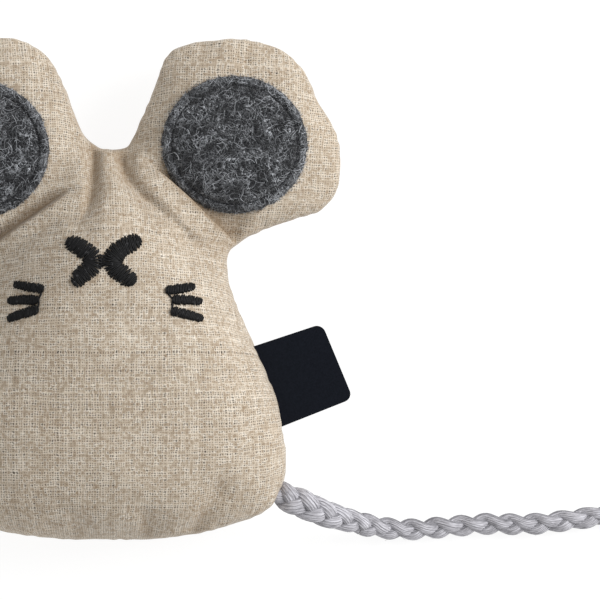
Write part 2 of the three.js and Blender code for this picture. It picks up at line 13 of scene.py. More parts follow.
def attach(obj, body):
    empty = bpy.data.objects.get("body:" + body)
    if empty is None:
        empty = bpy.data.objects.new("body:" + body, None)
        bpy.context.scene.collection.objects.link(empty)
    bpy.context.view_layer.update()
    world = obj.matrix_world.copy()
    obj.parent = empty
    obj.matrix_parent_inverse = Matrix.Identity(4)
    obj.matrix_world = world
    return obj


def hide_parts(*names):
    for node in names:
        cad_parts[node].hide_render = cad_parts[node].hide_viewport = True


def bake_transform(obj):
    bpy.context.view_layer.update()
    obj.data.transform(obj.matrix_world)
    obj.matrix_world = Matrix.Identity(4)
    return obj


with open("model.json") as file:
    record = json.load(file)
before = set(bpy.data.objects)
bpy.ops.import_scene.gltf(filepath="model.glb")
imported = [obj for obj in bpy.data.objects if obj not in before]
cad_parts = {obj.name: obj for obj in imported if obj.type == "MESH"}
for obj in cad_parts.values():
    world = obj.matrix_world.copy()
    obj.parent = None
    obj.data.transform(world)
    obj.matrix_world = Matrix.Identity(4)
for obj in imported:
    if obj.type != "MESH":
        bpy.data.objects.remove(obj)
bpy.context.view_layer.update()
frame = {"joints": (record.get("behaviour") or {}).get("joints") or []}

bl_info = {
    "name": "Catnip mouse",
    "version": (1, 0, 0),
    "blender": (4, 5, 0),
    "location": "3D View > Sidebar > Mouse",
    "description": "Builds a stuffed linen cat toy with felt ears, embroidery, a label and a plaited tail",
    "category": "Object",
}

# Plan shapes are written in millimetres and made in metres.
MM = 0.001
JOINTS = {joint["name"]: joint for joint in frame["joints"]}
SEAM = JOINTS["right_ear_fold"]["pos_m"][2] / MM
WEAVE_MAP = "weave"
YARN_MAP = "yarn"
SHADE = "shade"
UP = np.array([0.0, 0.0, 1.0])
UPRIGHT = 0.9
TINY = 1e-12
RAY_START = 0.2
CURVE_STEPS = 24
NOISE_WAVES = 9
NOISE_PITCHES = (0.8, 1.7)
NOISE_PHASE = 6.3

# Outline of both linen panels, from the notch between the ears round by the left ear.
OUTLINE = [
    (1.1, 52.85), (-1.0, 53.05), (-2.8, 53.8), (-4.4, 55.2), (-6.1, 57.8), (-8.9, 64.9), (-10.9, 69.5),
    (-12.9, 73.3), (-15.5, 76.6), (-21.0, 79.75), (-26.5, 80.5), (-31.5, 80.4), (-36.5, 79.5),
    (-43.75, 76.8), (-49.5, 72.2), (-54.0, 66.0), (-57.2, 58.5), (-58.5, 52.3), (-58.4, 46.5),
    (-57.0, 41.6), (-53.5, 37.6), (-47.5, 35.0), (-40.25, 32.4), (-34.6, 29.9), (-31.3, 27.4),
    (-30.5, 24.8), (-31.0, 20.0), (-32.5, 15.0), (-34.5, 10.0), (-36.75, 5.0), (-39.0, 0.0),
    (-41.5, -5.75), (-43.25, -11.25), (-44.25, -17.5), (-45.0, -23.75), (-44.5, -30.0), (-42.4, -35.0),
    (-40.25, -37.5), (-35.0, -40.2), (-27.0, -42.8), (-18.5, -44.25), (-8.25, -45.0), (0.0, -45.1),
    (8.25, -45.0), (18.5, -44.25), (27.0, -42.5), (35.0, -40.0), (40.25, -37.5), (42.25, -35.0),
    (44.5, -30.0), (45.0, -23.75), (44.25, -17.5), (43.25, -11.25), (41.5, -5.75), (39.0, 0.0),
    (36.75, 5.0), (34.5, 10.0), (32.5, 15.0), (31.0, 20.0), (30.5, 25.0), (31.25, 27.5), (34.75, 30.0),
    (40.25, 32.5), (47.5, 35.0), (54.0, 37.5), (57.75, 42.5), (58.5, 47.5), (58.5, 52.5), (57.25, 57.5),
    (54.5, 62.5), (53.0, 65.0), (52.0, 67.5), (49.25, 72.5), (43.75, 77.5), (35.25, 80.0),
    (27.75, 80.0), (22.25, 79.5), (16.75, 77.5), (14.5, 75.0), (12.5, 70.0), (9.5, 62.5), (6.25, 55.0),
    (5.3, 53.4), (3.6, 52.85),
]

# Each fold of the front linen: its line, its depth along the line, and its reach to the left and right.
FRONT_FOLDS = [
    ([(3.6, 53.0), (4.3, 48.0), (6.2, 44.0), (10.75, 39.25), (16.5, 34.0), (20.5, 30.8)],
     [3.5, 3.4, 1.9, 1.0, 0.45, 0.0], 2.2, 1.3),
    ([(-3.1, 53.0), (-3.0, 47.0), (-3.3, 42.5), (-4.4, 38.0), (-6.0, 35.0)],
     [3.5, 3.6, 3.4, 2.8, 0.8], 1.9, 1.4),
    ([(11.5, 31.0), (20.5, 29.75), (31.5, 28.5)], [0.3, 1.2, 1.8], 3.2, 2.2),
    ([(36.2, 36.0), (36.0, 31.0)], [0.2, 0.8], 1.0, 0.9),
    ([(39.5, 36.0), (40.2, 33.0)], [0.1, 0.5], 0.9, 0.9),
    ([(-6.8, -39.0), (-6.0, -44.8)], [0.2, 1.6], 1.2, 1.2),
    ([(9.2, -37.0), (10.75, -44.6)], [0.2, 1.9], 1.2, 1.3),
    ([(26.2, -33.5), (22.2, -43.0)], [0.6, 2.2], 2.4, 1.1),
    ([(33.0, -28.0), (28.5, -33.0)], [0.2, 0.9], 2.6, 2.0),
    ([(34.6, 74.4), (34.9, 71.8)], [0.7, 0.1], 0.8, 0.8),
    ([(53.6, 64.9), (46.5, 61.5)], [0.9, 0.1], 1.6, 1.4),
]
BACK_FOLDS = [
    ([(33.0, 28.0), (18.0, 39.5), (2.5, 53.0)], [2.6, 2.8, 3.2], 2.8, 2.8),
    ([(-33.0, 28.0), (-18.0, 39.5), (-1.0, 53.0)], [2.6, 2.8, 3.2], 2.8, 2.8),
]
FOLD_FLOOR = 0.4
FOLD_EDGE = 2.5
FOLD_STEP = 0.8
FOLD_ROW_STEP = 0.8
FOLD_CLEAR = 0.5
SHARP_FOLDS = 2
FOLD_ROWS = (-1.6, -0.95, -0.45, 0.0, 0.4, 0.85, 1.5)
CREASE_FULL = 4.5

# The roll of linen at each ear's root that laps over the ear. Places are out from the fold line and, as
# the ends are, along it towards the armpit.
# Each roll also gives the strength and the reach of a painted shade on the ear's side of its edge.
LIPS = {
    "right": {"at": 2.3, "lean": 0.05, "rise": 1.9, "drop": 2.6, "steep": 0.5, "lap": 1.1, "foot": -5.3,
              "fade": 13.0, "crown": 0.3, "painted_shade": 0.8, "reach": 3.2, "ends": (-14.0, -5.0, 13.5, 18.5)},
    "left": {"at": -2.9, "lean": 0.19, "rise": 1.2, "drop": 3.0, "steep": 0.65, "lap": 0.25, "foot": -8.0,
             "fade": 3.4, "crown": 0.0, "painted_shade": 1.4, "reach": 1.2, "ends": (-10.5, -1.5, 15.0, 19.0)},
}
LIP_BAND = 1.7
LIP_SWELL = 3.4
LIP_FADE_LEAST = 0.3
LIP_STEP = 0.9
LIP_CLEAR = 0.6
LIP_ROWS = (-1.7, -1.1, -0.65, -0.3, 0.0, 0.3, 0.65, 1.1, 1.7)

OUTLINE_SPACING = 1.15
PANEL_SPACING = 1.35
RING_INSETS = (0.3, 0.85, 1.65)
RING_KEPT = 0.93
RING_CLEAR = 0.45
PATCH_INSIDE = 1
PATCH_MERGE = 1e-6
LEAST_SWELL = 0.15
FRONT_FULLNESS = 0.42
BACK_FULLNESS = 0.30
EAR_BLEND = (-19.0, 3.0)
EAR_MIDDLE = 21.0
MIDDLE_REACH = 28.0
EAR_SPLIT = -4.5
EAR_STIFF = 2.5
SEAM_GROOVE = 0.5
SEAM_REACH = 0.7
SEAM_NEAR = 2.5
SEAM_SHADE = 0.6
PUCKER_PITCH = 4.3
PUCKER_HEIGHT = 0.13
PUCKER_REACH = 4.0
PUCKER_LEVEL = 0.4
PUCKER_DRIFT = 1.3
PUCKER_BEATS = (0.37, 0.23)
PUCKER_VARIES = 0.4
LUMP_PITCH = 16.0
LUMP_HEIGHT = 0.2
LUMP_EDGE = 6.0
LUMP_SEED = 5

# The cloth is let settle at five times its size, where the solver's stiffness suits it.
CLOTH_SCALE = 5.0
CLOTH_FRAMES = 20
CLOTH_CAP = 2.2
CLOTH_PASSES = 2
CLOTH_WAYS = {"quality": 6, "mass": 0.3, "tension_stiffness": 18.0, "compression_stiffness": 18.0,
              "shear_stiffness": 8.0, "bending_stiffness": 0.35}
# Where it is held: by the depth of a fold, by the distance from a roll, and by the height over the floor.
HELD_DROP = (0.5, 2.2)
HELD_LIP = (2.0, 5.0)
HELD_REST = 2.5

FELT_MIDDLES = {"right": (32.2, 53.75), "left": (-32.2, 52.6)}
SEAT_CLEAR = 5.0
FELT_CLUMPS = ((3.8, 33), (2.3, 35), (1.5, 37))

# The filling stays this far under the front linen's face, and this far in from the seam.
FILLING_CLEAR = 1.4
FILLING_INSET = 2.4
ROUGH_SEED = 61

# Embroidered strokes: centre line and width along it.
NOSE = {
    "right": ([(8.8, 30.1), (6.5, 29.0), (4.1, 27.7), (2.3, 26.1), (1.7, 24.6), (2.5, 22.9), (4.6, 21.2),
               (7.2, 19.1)], [3.8, 4.3, 4.6, 4.8, 4.7, 4.5, 4.3, 3.8]),
    "left": ([(-9.4, 29.9), (-7.2, 28.7), (-5.3, 27.5), (-3.5, 26.0), (-2.8, 24.8), (-3.4, 23.2),
              (-5.3, 21.5), (-7.9, 19.2)], [3.8, 4.2, 4.5, 4.8, 4.8, 4.5, 4.2, 3.8]),
}
WHISKERS = {
    "right_upper": [(15.3, 17.4), (18.8, 17.8), (22.2, 18.4)],
    "right_middle": [(16.85, 15.1), (20.4, 15.0), (24.0, 14.6)],
    "right_lower": [(16.6, 12.3), (20.5, 11.4), (24.25, 10.25)],
    "left_upper": [(-15.45, 17.7), (-19.0, 18.2), (-22.65, 18.95)],
    "left_middle": [(-16.5, 15.0), (-20.4, 15.0), (-24.2, 14.8)],
    "left_lower": [(-16.7, 12.65), (-20.5, 11.6), (-24.2, 10.35)],
}
WHISKER_WIDTHS = [2.3, 2.35, 2.25, 2.1, 1.8]
STROKE_ROUND = 0.9
STITCH_POINTS = 9
# How satin stitches slant, vary at their ends, stray along the stroke and rise, and how they bow and sink.
SATIN_SLANT = (0.12, 0.08)
SATIN_ENDS, SATIN_STRAY, SATIN_UNEVEN = 0.05, 0.05, 0.04
SATIN_BOW, SATIN_BED = 2.5, 0.3
SATIN_SUNK, SATIN_SUNK_END = 0.75, 10
# Plain threads between the arcs of the nose, and from whisker to whisker.
STRAIGHT_STITCHES = {
    "nose_stitch_right": [((-1.8, 26.1), (1.0, 25.9)), ((-1.6, 25.5), (0.9, 25.2)),
                          ((-1.6, 24.9), (0.9, 24.9)), ((-1.6, 24.4), (0.9, 24.3)),
                          ((-1.7, 23.8), (1.0, 23.9))],
    "whisker_right_middle": [((15.6, 16.9), (16.6, 15.4)), ((16.7, 14.7), (16.8, 12.7))],
    "whisker_left_middle": [((-15.7, 17.2), (-16.4, 15.4)), ((-16.4, 14.6), (-16.7, 13.0))],
}

# The label's corners in plan: inner top, outer top, outer bottom, inner bottom.
LABEL_CORNERS = [(37.6, 3.7), (54.0, 9.1), (61.75, -9.6), (44.4, -16.7)]
LABEL_TUCK = 4.0
LABEL_SPACING = 0.9

# The tail's route, from inside the seam out to the knot: right of the pivot, up, and height.
TAIL_ROUTE = [
    (-9.0, 5.4, 16.5), (-5.5, 3.3, 16.5), (-2.8, 1.7, 16.5), (0.0, 0.0, 16.5), (4.5, -1.8, 16.1),
    (9.0, -3.7, 13.8), (14.9, -5.5, 9.5), (21.0, -7.1, 5.3), (27.8, -7.9, 3.27), (34.0, -7.7, 3.0),
    (40.5, -7.15, 3.0),
    (50.3, -6.5, 3.0), (56.7, -6.6, 3.0), (63.1, -6.4, 3.0), (70.0, -5.6, 3.0), (77.75, -4.5, 3.0),
    (85.0, -2.7, 3.0), (92.0, 0.1, 3.0), (98.0, 4.5, 3.0), (102.5, 10.0, 3.7), (105.0, 17.0, 5.0),
    (105.3, 24.0, 5.2), (105.2, 27.0, 5.2),
]
TAIL_STEP = 0.7
TAIL_INSIDE = 9.0
TAIL_SPLIT = 24.0
TAIL_TWIST = 0.65
TAIL_TWIST_OUT = (8.0, 36.0)
TAIL_UNWIND = 0.03
TAIL_UNWIND_OUT = 45.0
# The plait's width and the length of its turns, as shares of the settings, at places out from the seam.
TAIL_OUT = (-9.0, -4.0, 4.0, 12.0, 20.0, 32.0, 70.0, 120.0)
TAIL_WIDTHS = (0.5, 0.95, 1.26, 1.12, 0.96, 0.86, 0.86, 0.88)
TAIL_TURNS = (0.80, 0.80, 0.82, 0.86, 0.92, 0.98, 1.0, 1.0)
STRANDS = 3
STRAND_LIFT = 0.78
STRAND_TUCK = 0.95
STRAND_WAVES = ((3.1, 2.1), (1.7, 1.0))
STRAND_UNEVEN = 0.025
STRAND_TILT = 0.35
STRAND_RIBS = 17
STRAND_RIB_DEPTH = 0.12
STRAND_FLATNESS = 0.80
TAIL_LINT = 0.03
TAIL_LINT_OUT = 3.0
# How many hairs the root and the plait have, and their seeds.
ROOT_LINT = (160, 71)
PLAIT_LINT = (520, 72)
LINT_POINTS = 5
LINT_MARGIN = 4
LINT_ROOT = 0.6
LINT_REACH = (0.35, 0.7)

# The weave, counted in threads. Its threads wander: how far, how finely, and in how much detail.
WANDERS = ((1.6, 0.06, 2.0), (0.9, 0.6, 1.0))
PACE = 1.15
PACE_SCALE = 0.45
PACE_STARTS = {"X": 3.0, "Y": 71.0}
SQUARENESS = (2.0, 1.6)
CRIMP = 0.55
TONE_RUN, TONE_STEP, TONE_START = 0.42, 7.31, 40.0
TONE_FAT, TONE_SLOW, TONE_BASE = 0.08, 0.42, 0.25
CELL_TONE = 0.8
SLUB_RUN, SLUB_STEP, SLUB_START = 0.15, 3.77, 90.0
SLUB_FROM, SLUB_FULL = {"X": 0.68, "Y": 0.60}, 0.76
# Painted shade of the weave: in the holes between the threads, and as a dark line along each thread's edge.
HOLE_FROM, HOLE_LEAST, HOLE_VARIES = 0.10, 0.39, 0.63
EDGE_LINE = (0.55, 0.9)
EDGE_VARIES = 0.9
# How strongly each change shows on the linen, the painted shade in each crease among them, and its clouds'
# scales and shares.
LINEN_SLUBS = 0.75
LINEN_CREASE_SHADE = 0.7
LINEN_CLOUDINESS = 0.25
LINEN_CLOUDS = ((210.0, 0.6), (55.0, 0.4))
# Each mat of felt fibres: its scale, its shift and its strength.
FELT_MATS = ((380.0, 0.0, 1.0), (620.0, 5.0, 0.8), (1000.0, 9.0, 0.5))
FELT_BANDS = 7.0
THREAD_TURNS = 2600.0
# How strongly the thread's grey specks show: partly lint, partly a painted sheen.
THREAD_LINT_AND_SHEEN = 0.6
YARN_STRAYS = 0.16
# Painted shade on the tail: how dark the grooves between the yarns are, and where and how dark each strand's
# edges are.
YARN_GROOVE_SHADE = 0.75
STRAND_BRINK = 0.80
STRAND_EDGE_SHADE = 0.7


# Curves and distances in plan

def smoothstep(low, high, value):
    """Zero up to low, one from high, and a smooth rise between them."""
    t = np.clip((value - low) / (high - low), 0.0, 1.0)
    return t * t * (3.0 - 2.0 * t)


def unit(rows):
    """Rows of numbers, each brought to a length of one."""
    return rows / np.maximum(np.linalg.norm(rows, axis=-1, keepdims=True), TINY)


def lengths_along(line):
    """How far along a line each of its points lies."""
    return np.concatenate([[0.0], np.cumsum(np.linalg.norm(np.diff(line, axis=0), axis=1))])


def even_turns(count):
    """A number of angles, evenly round a circle."""
    return np.linspace(0.0, 2 * math.pi, count, endpoint=False)


def circle(turns):
    """The points of a circle of radius one at the angles given."""
    return np.stack([np.cos(turns), np.sin(turns)], 1)


def plan_grid(low, high, step):
    """Places in plan on an even grid between two corners."""
    return np.stack(np.meshgrid(*(np.arange(low[k], high[k], step) for k in (0, 1))), -1)


def smooth_line(points, spacing, closed=False):
    """Points an even spacing apart on a smooth curve through the points given."""
    knots = np.array(points, float)
    before, after, beyond = (np.roll(knots, shift, 0) for shift in (1, -1, -2))
    if not closed:
        before[0] = 2 * knots[0] - knots[1]
        beyond[-2] = 2 * knots[-1] - knots[-2]
    t = np.linspace(0.0, 1.0, CURVE_STEPS, endpoint=False)[:, None]
    spans = list(zip(before, knots, after, beyond))
    fine = [0.5 * (2 * b + (c - a) * t + (2 * a - 5 * b + 4 * c - d) * t ** 2
                   + (3 * b - a - 3 * c + d) * t ** 3)
            for a, b, c, d in (spans if closed else spans[:-1])]
    fine = np.concatenate(fine + [knots[:1] if closed else knots[-1:]])
    length = lengths_along(fine)
    at = np.linspace(0.0, length[-1], max(3, round(length[-1] / spacing)) + 1)
    if closed:
        at = at[:-1]
    return np.stack([np.interp(at, length, column) for column in fine.T], 1)


def near_line(places, line, closed=False):
    """Each place's distance from a line, the side it lies on, and how far along the line that is."""
    start = line if closed else line[:-1]
    run = (np.roll(line, -1, 0) if closed else line[1:]) - start
    length = np.linalg.norm(run, axis=1)
    offset = places[:, None, :] - start[None]
    t = np.clip((offset * run).sum(2) / length ** 2, 0.0, 1.0)
    gap = offset - t[..., None] * run
    away = np.linalg.norm(gap, axis=2)
    best = away.argmin(1)
    rows = np.arange(len(places))
    gap, run_best = gap[rows, best], run[best]
    side = np.sign(run_best[:, 0] * gap[:, 1] - run_best[:, 1] * gap[:, 0])
    reached = np.concatenate([[0.0], np.cumsum(length)[:-1]])
    along = (reached[best] + t[rows, best] * length[best]) / length.sum()
    return away[rows, best], side, along


def inside_of(places, outline):
    """Which places lie inside a closed outline."""
    ends = np.roll(outline, -1, 0)
    x, y = places[:, :1], places[:, 1:]
    spans = (outline[:, 1] > y) != (ends[:, 1] > y)
    rise = np.where(ends[:, 1] == outline[:, 1], 1e-12, ends[:, 1] - outline[:, 1])
    cross = outline[:, 0] + (y - outline[:, 1]) / rise * (ends[:, 0] - outline[:, 0])
    return (spans & (x < cross)).sum(1) % 2 == 1


def slow_noise(places, pitch, seed):
    """Smooth random heights between minus one and one, with bumps about a pitch apart."""
    random = np.random.default_rng(seed)
    total = np.zeros(len(places))
    for _ in range(NOISE_WAVES):
        turn = random.uniform(0.0, 2 * math.pi)
        wave = 2 * math.pi / (pitch * random.uniform(*NOISE_PITCHES))
        heading = wave * np.array([math.cos(turn), math.sin(turn)])
        total += np.sin(places @ heading + random.uniform(0, NOISE_PHASE))
    return total / math.sqrt(NOISE_WAVES)


class EarFrame:
    """Plan directions of an ear, taken from its joint: out from the fold line, and along it to the armpit."""

    def __init__(self, joint):
        axis = np.array(joint["axis"][:2])
        self.root = np.array(joint["pos_m"][:2]) / MM
        self.along = axis * math.copysign(1.0, self.root[0])
        self.out = np.array([-axis[1], axis[0]])

    def split(self, places):
        """How far out from the fold line each place lies, and how far along it."""
        offset = places - self.root
        return offset @ self.out, offset @ self.along

    def at(self, out):
        """The place in the frame, in metres, that lies out from the middle of the fold line."""
        return (*((self.root + out * self.out) * MM), SEAM * MM)


EARS = {side: EarFrame(JOINTS[side + "_ear_fold"]) for side in ("right", "left")}


class SwellMap:
    """How far a filled skin swells over each place inside an outline, from a film stretched on a grid."""

    STEP = 1.25
    MARGIN = 5.0
    SWEEPS = 400
    HASTE = 1.9
    LEAST_AWAY = 0.2
    CARRIED = 4
    SHIFTS = [(1, 0), (1, 1), (-1, 0), (-1, 1)]

    def __init__(self, outline):
        self.low = outline.min(0) - self.MARGIN
        grid = plan_grid(self.low, outline.max(0) + self.MARGIN, self.STEP)
        flat, shape = grid.reshape(-1, 2), grid.shape[:2]
        self.inside = inside_of(flat, outline).reshape(shape)
        self.away = near_line(flat, outline, closed=True)[0].reshape(shape)
        film = self.stretch()
        self.top = film.max()
        ratio = film / np.maximum(self.away, self.LEAST_AWAY)
        self.ratio = self.spread(np.where(self.inside, ratio, 0.0))

    def stretch(self):
        """The height of a film held at the outline and pushed up evenly."""
        film = np.zeros(self.inside.shape)
        rows, columns = np.indices(film.shape)
        turns = [self.inside & ((rows + columns) % 2 == k) for k in (0, 1)]
        for _ in range(self.SWEEPS):
            for turn in turns:
                around = sum(np.roll(film, *shift) for shift in self.SHIFTS) + self.STEP ** 2
                film[turn] += self.HASTE * (around[turn] / 4 - film[turn])
        return film

    def spread(self, grid):
        """The grid with its values carried a few cells past the outline."""
        known = self.inside.copy()
        for _ in range(self.CARRIED):
            total = sum(np.roll(np.where(known, grid, 0.0), *shift) for shift in self.SHIFTS)
            number = sum(np.roll(known, *shift).astype(int) for shift in self.SHIFTS)
            grown = ~known & (number > 0)
            grid[grown] = total[grown] / number[grown]
            known |= grown
        return grid

    def read(self, grid, places):
        """The grid's value at each place, between its cells too."""
        at = (places - self.low) / self.STEP
        cell = np.clip(np.floor(at).astype(int), 0, np.array(grid.shape)[::-1] - 2)
        (fx, fy), (i, j) = (at - cell).T, cell.T
        return ((grid[j, i] * (1 - fx) + grid[j, i + 1] * fx) * (1 - fy)
                + (grid[j + 1, i] * (1 - fx) + grid[j + 1, i + 1] * fx) * fy)

    def share(self, places, away):
        """The swell at each place as a share of the fullest one."""
        return np.clip(self.read(self.ratio, places) * away / self.top, 0.0, 1.0)


# Linen skin

def fold_drop(places, folds):
    """How far the folds pull the cloth in at each place."""
    drop = np.zeros(len(places))
    for path, depths, left, right in folds:
        away, side, along = near_line(places, smooth_line(path, FOLD_STEP))
        depth = np.interp(along, np.linspace(0.0, 1.0, len(depths)), depths)
        reach = np.where(side > 0, left, right)
        drop += depth * np.exp(-(np.sqrt(away ** 2 + FOLD_FLOOR ** 2) - FOLD_FLOOR) / reach)
    return drop


def ear_share(places):
    """One on the ears, zero on the body, and a smooth change round the roots."""
    return np.maximum(*(smoothstep(*EAR_BLEND, ear.split(places)[0]) for ear in EARS.values()))


def lip_places(side, places):
    """How far out from the edge of an ear's roll each place lies, and how far the roll stands there."""
    lip = LIPS[side]
    out, along = EARS[side].split(places)
    ends = lip["ends"]
    stands = smoothstep(*ends[:2], along) * (1 - smoothstep(*ends[2:], along))
    return out - lip["at"] - lip["lean"] * along, stands


def swell_height(places, away, swell, fullness, body, ear):
    """How far a panel swells off the seam, in millimetres, by the swell of the body and of an ear."""
    middle = (EARS["right"].root + EAR_MIDDLE * EARS["right"].out)[None]
    ear_full = swell.share(middle, swell.read(swell.away, middle)) ** fullness
    full = swell.share(places, away) ** fullness
    ears = ear_share(places)
    return full * (body / MM * (1 - ears) + ear / MM / ear_full * ears)


def add_lips(places, height):
    """The front with the roll at each ear's root raised, and lapped over the ear beyond it."""
    moved, raised = places.copy(), height.copy()
    for side, lip in LIPS.items():
        out, stands = lip_places(side, places)
        past = smoothstep(-lip["steep"], lip["steep"], out)
        foot = lip["foot"] - lip["at"]
        crown = 1 - lip["crown"] * smoothstep(foot + LIP_SWELL, 0.0, out)
        roll = smoothstep(foot, foot + LIP_SWELL, out) * crown * (1 - past)
        fade = lip["fade"] * (LIP_FADE_LEAST + (1 - LIP_FADE_LEAST) * stands)
        sunk = past * (1 - smoothstep(lip["steep"], lip["steep"] + fade, out))
        raised += stands * (lip["rise"] * roll - lip["drop"] * sunk)
        band = np.clip(1 - (out / LIP_BAND) ** 2, 0.0, 1.0) ** 2
        moved += (lip["lap"] * stands * band * (1 - 2 * past))[:, None] * EARS[side].out
    return moved, raised


def crease_share(places):
    """How deep in a crease of the front each place lies, from zero to one, as the share of painted shade it
    takes: in a fold, and on the ear's side of each roll's edge.
    """
    share = fold_drop(places, FRONT_FOLDS) / CREASE_FULL
    for side, lip in LIPS.items():
        out, stands = lip_places(side, places)
        fading = np.exp(-np.maximum(out, 0.0) / lip["reach"])
        share += lip["painted_shade"] * stands * (smoothstep(-lip["steep"], lip["steep"], out) * fading)
    return np.clip(share, 0.0, 1.0)


def left_of(run):
    """The direction to the left of each heading in plan."""
    return unit(np.stack([-run[:, 1], run[:, 0]], 1))


def beside_line(line, offsets):
    """Rows of points to the left of a line by each of the offsets."""
    left = left_of(np.gradient(line, axis=0))
    return np.concatenate([line + offset * left for offset in offsets])


def inward_of(outline):
    """The direction into a closed outline at each of its points."""
    return left_of(np.roll(outline, -1, 0) - np.roll(outline, 1, 0))


def keep_in(places, outline, clear):
    """Places in plan, moved in where they lie closer to a closed outline than the clearance."""
    gap = places[:, None] - outline[None]
    nearest = (gap ** 2).sum(2).argmin(1)
    inward = inward_of(outline)[nearest]
    depth = (gap[np.arange(len(places)), nearest] * inward).sum(1)
    return places + np.maximum(clear - depth, 0.0)[:, None] * inward


def plan_patch(outline, inner):
    """A flat patch of triangles inside an outline, with the inner points as its other corners."""
    points = [Vector(p) for p in np.concatenate([outline, inner])]
    made = delaunay_2d_cdt(points, [], [list(range(len(outline)))], PATCH_INSIDE, PATCH_MERGE)
    corners = np.array([tuple(v) for v in made[0]])
    rim = np.array([any(i < len(outline) for i in source) for source in made[3]])
    return corners, [tuple(face) for face in made[2]], rim


def panel_points(outline):
    """Points inside the outline: rings by the seam, rows at the rolls and sharp folds, and an even grid."""
    rings = []
    for inset in RING_INSETS:
        ring = outline + inset * inward_of(outline)
        rings.append(ring[near_line(ring, outline, closed=True)[0] > RING_KEPT * inset])
    inner = plan_grid(outline.min(0), outline.max(0), PANEL_SPACING).reshape(-1, 2)
    for side, lip in LIPS.items():
        ear = EARS[side]
        out, stands = lip_places(side, inner)
        steps = np.arange(lip["ends"][0], lip["ends"][3], PANEL_SPACING * LIP_STEP)
        rows = [ear.root + (lip["at"] + lip["lean"] * step + row) * ear.out + step * ear.along
                for row in LIP_ROWS for step in steps]
        apart = (np.abs(out) > LIP_ROWS[-1] + LIP_CLEAR) | (stands == 0.0)
        inner = np.concatenate([inner[apart], np.array(rows)])
    for path, *_ in FRONT_FOLDS[:SHARP_FOLDS]:
        line = smooth_line(path, FOLD_ROW_STEP * PANEL_SPACING)
        apart = near_line(inner, line)[0] > FOLD_ROWS[-1] + FOLD_CLEAR
        inner = np.concatenate([inner[apart], beside_line(line, FOLD_ROWS)])
    clear = RING_INSETS[-1] + RING_CLEAR * PANEL_SPACING
    keep = inside_of(inner, outline) & (near_line(inner, outline, closed=True)[0] > clear)
    return np.concatenate(rings + [inner[keep]])


def let_settle(skin, held, settings):
    """Lets the cloth ease outwards under the filling, with its seam, its folds and its resting patch held."""
    start = coordinates(skin.data)
    skin.data.transform(Matrix.Scale(CLOTH_SCALE, 4))
    group = skin.vertex_groups.new(name="held")
    for index, weight in enumerate(held):
        group.add([index], float(weight), "REPLACE")
    cloth = skin.modifiers.new("cloth", "CLOTH")
    ways = cloth.settings
    for key, value in CLOTH_WAYS.items():
        setattr(ways, key, value)
    ways.shrink_min = -settings.slack
    ways.use_pressure = True
    ways.uniform_pressure_force = settings.pressure
    ways.vertex_group_mass = group.name
    ways.effector_weights.gravity = 0.0
    cloth.point_cache.frame_start, cloth.point_cache.frame_end = 1, CLOTH_FRAMES
    activate(skin)
    for number in range(1, CLOTH_FRAMES + 1):
        bpy.context.scene.frame_set(number)
    bpy.ops.object.modifier_apply(modifier=cloth.name)
    bpy.context.scene.frame_set(1)
    skin.vertex_groups.clear()
    skin.data.transform(Matrix.Scale(1 / CLOTH_SCALE, 4))
    moved = spread_evenly(skin.data, (coordinates(skin.data) - start) / MM, CLOTH_PASSES)
    far = np.maximum(np.linalg.norm(moved, axis=1), 1e-9)
    eased = moved * (CLOTH_CAP * np.tanh(far / CLOTH_CAP) / far)[:, None]
    place_corners(skin.data, start + eased * (1 - held)[:, None] * MM)


def spread_evenly(mesh, values, passes):
    """Each corner's value averaged with its neighbours', a number of times."""
    a, b = read(mesh.edges, "vertices", 2, int).T
    ends, others = np.concatenate([a, b]), np.concatenate([b, a])
    count = np.bincount(ends, minlength=len(values))[:, None]
    for _ in range(passes):
        near = np.stack([np.bincount(ends, column[others], len(values)) for column in values.T], 1)
        values = 0.5 * values + 0.5 * near / count
    return values


def sew_seam(mesh, outline):
    """Draws the seam in, puckers the cloth along it, and lets the filling show as slow lumps."""
    places = coordinates(mesh) / MM
    normals = corner_normals(mesh)
    away, _, along = near_line(places[:, :2], outline, closed=True)
    level = np.abs(places[:, 2] - SEAM)
    rim = np.exp(-(level / SEAM_REACH) ** 2) * (away < SEAM_NEAR)
    turns = 2 * math.pi * along * lengths_along(outline)[-1] / PUCKER_PITCH
    uneven = 1 - PUCKER_VARIES + PUCKER_VARIES * np.sin(PUCKER_BEATS[1] * turns + 1.0)
    beat = np.sin(turns + PUCKER_DRIFT * np.sin(PUCKER_BEATS[0] * turns)) * uneven
    pucker = PUCKER_HEIGHT * beat * np.exp(-np.hypot(away, PUCKER_LEVEL * level) / PUCKER_REACH)
    on_front = (places[:, 2] > SEAM) * smoothstep(0, LUMP_EDGE, away)
    lump = LUMP_HEIGHT * slow_noise(places[:, :2], LUMP_PITCH, LUMP_SEED) * on_front
    places += normals * (pucker + lump - SEAM_GROOVE * rim)[:, None]
    places[:, 2] = np.maximum(places[:, 2], 0.0)
    place_corners(mesh, places * MM)


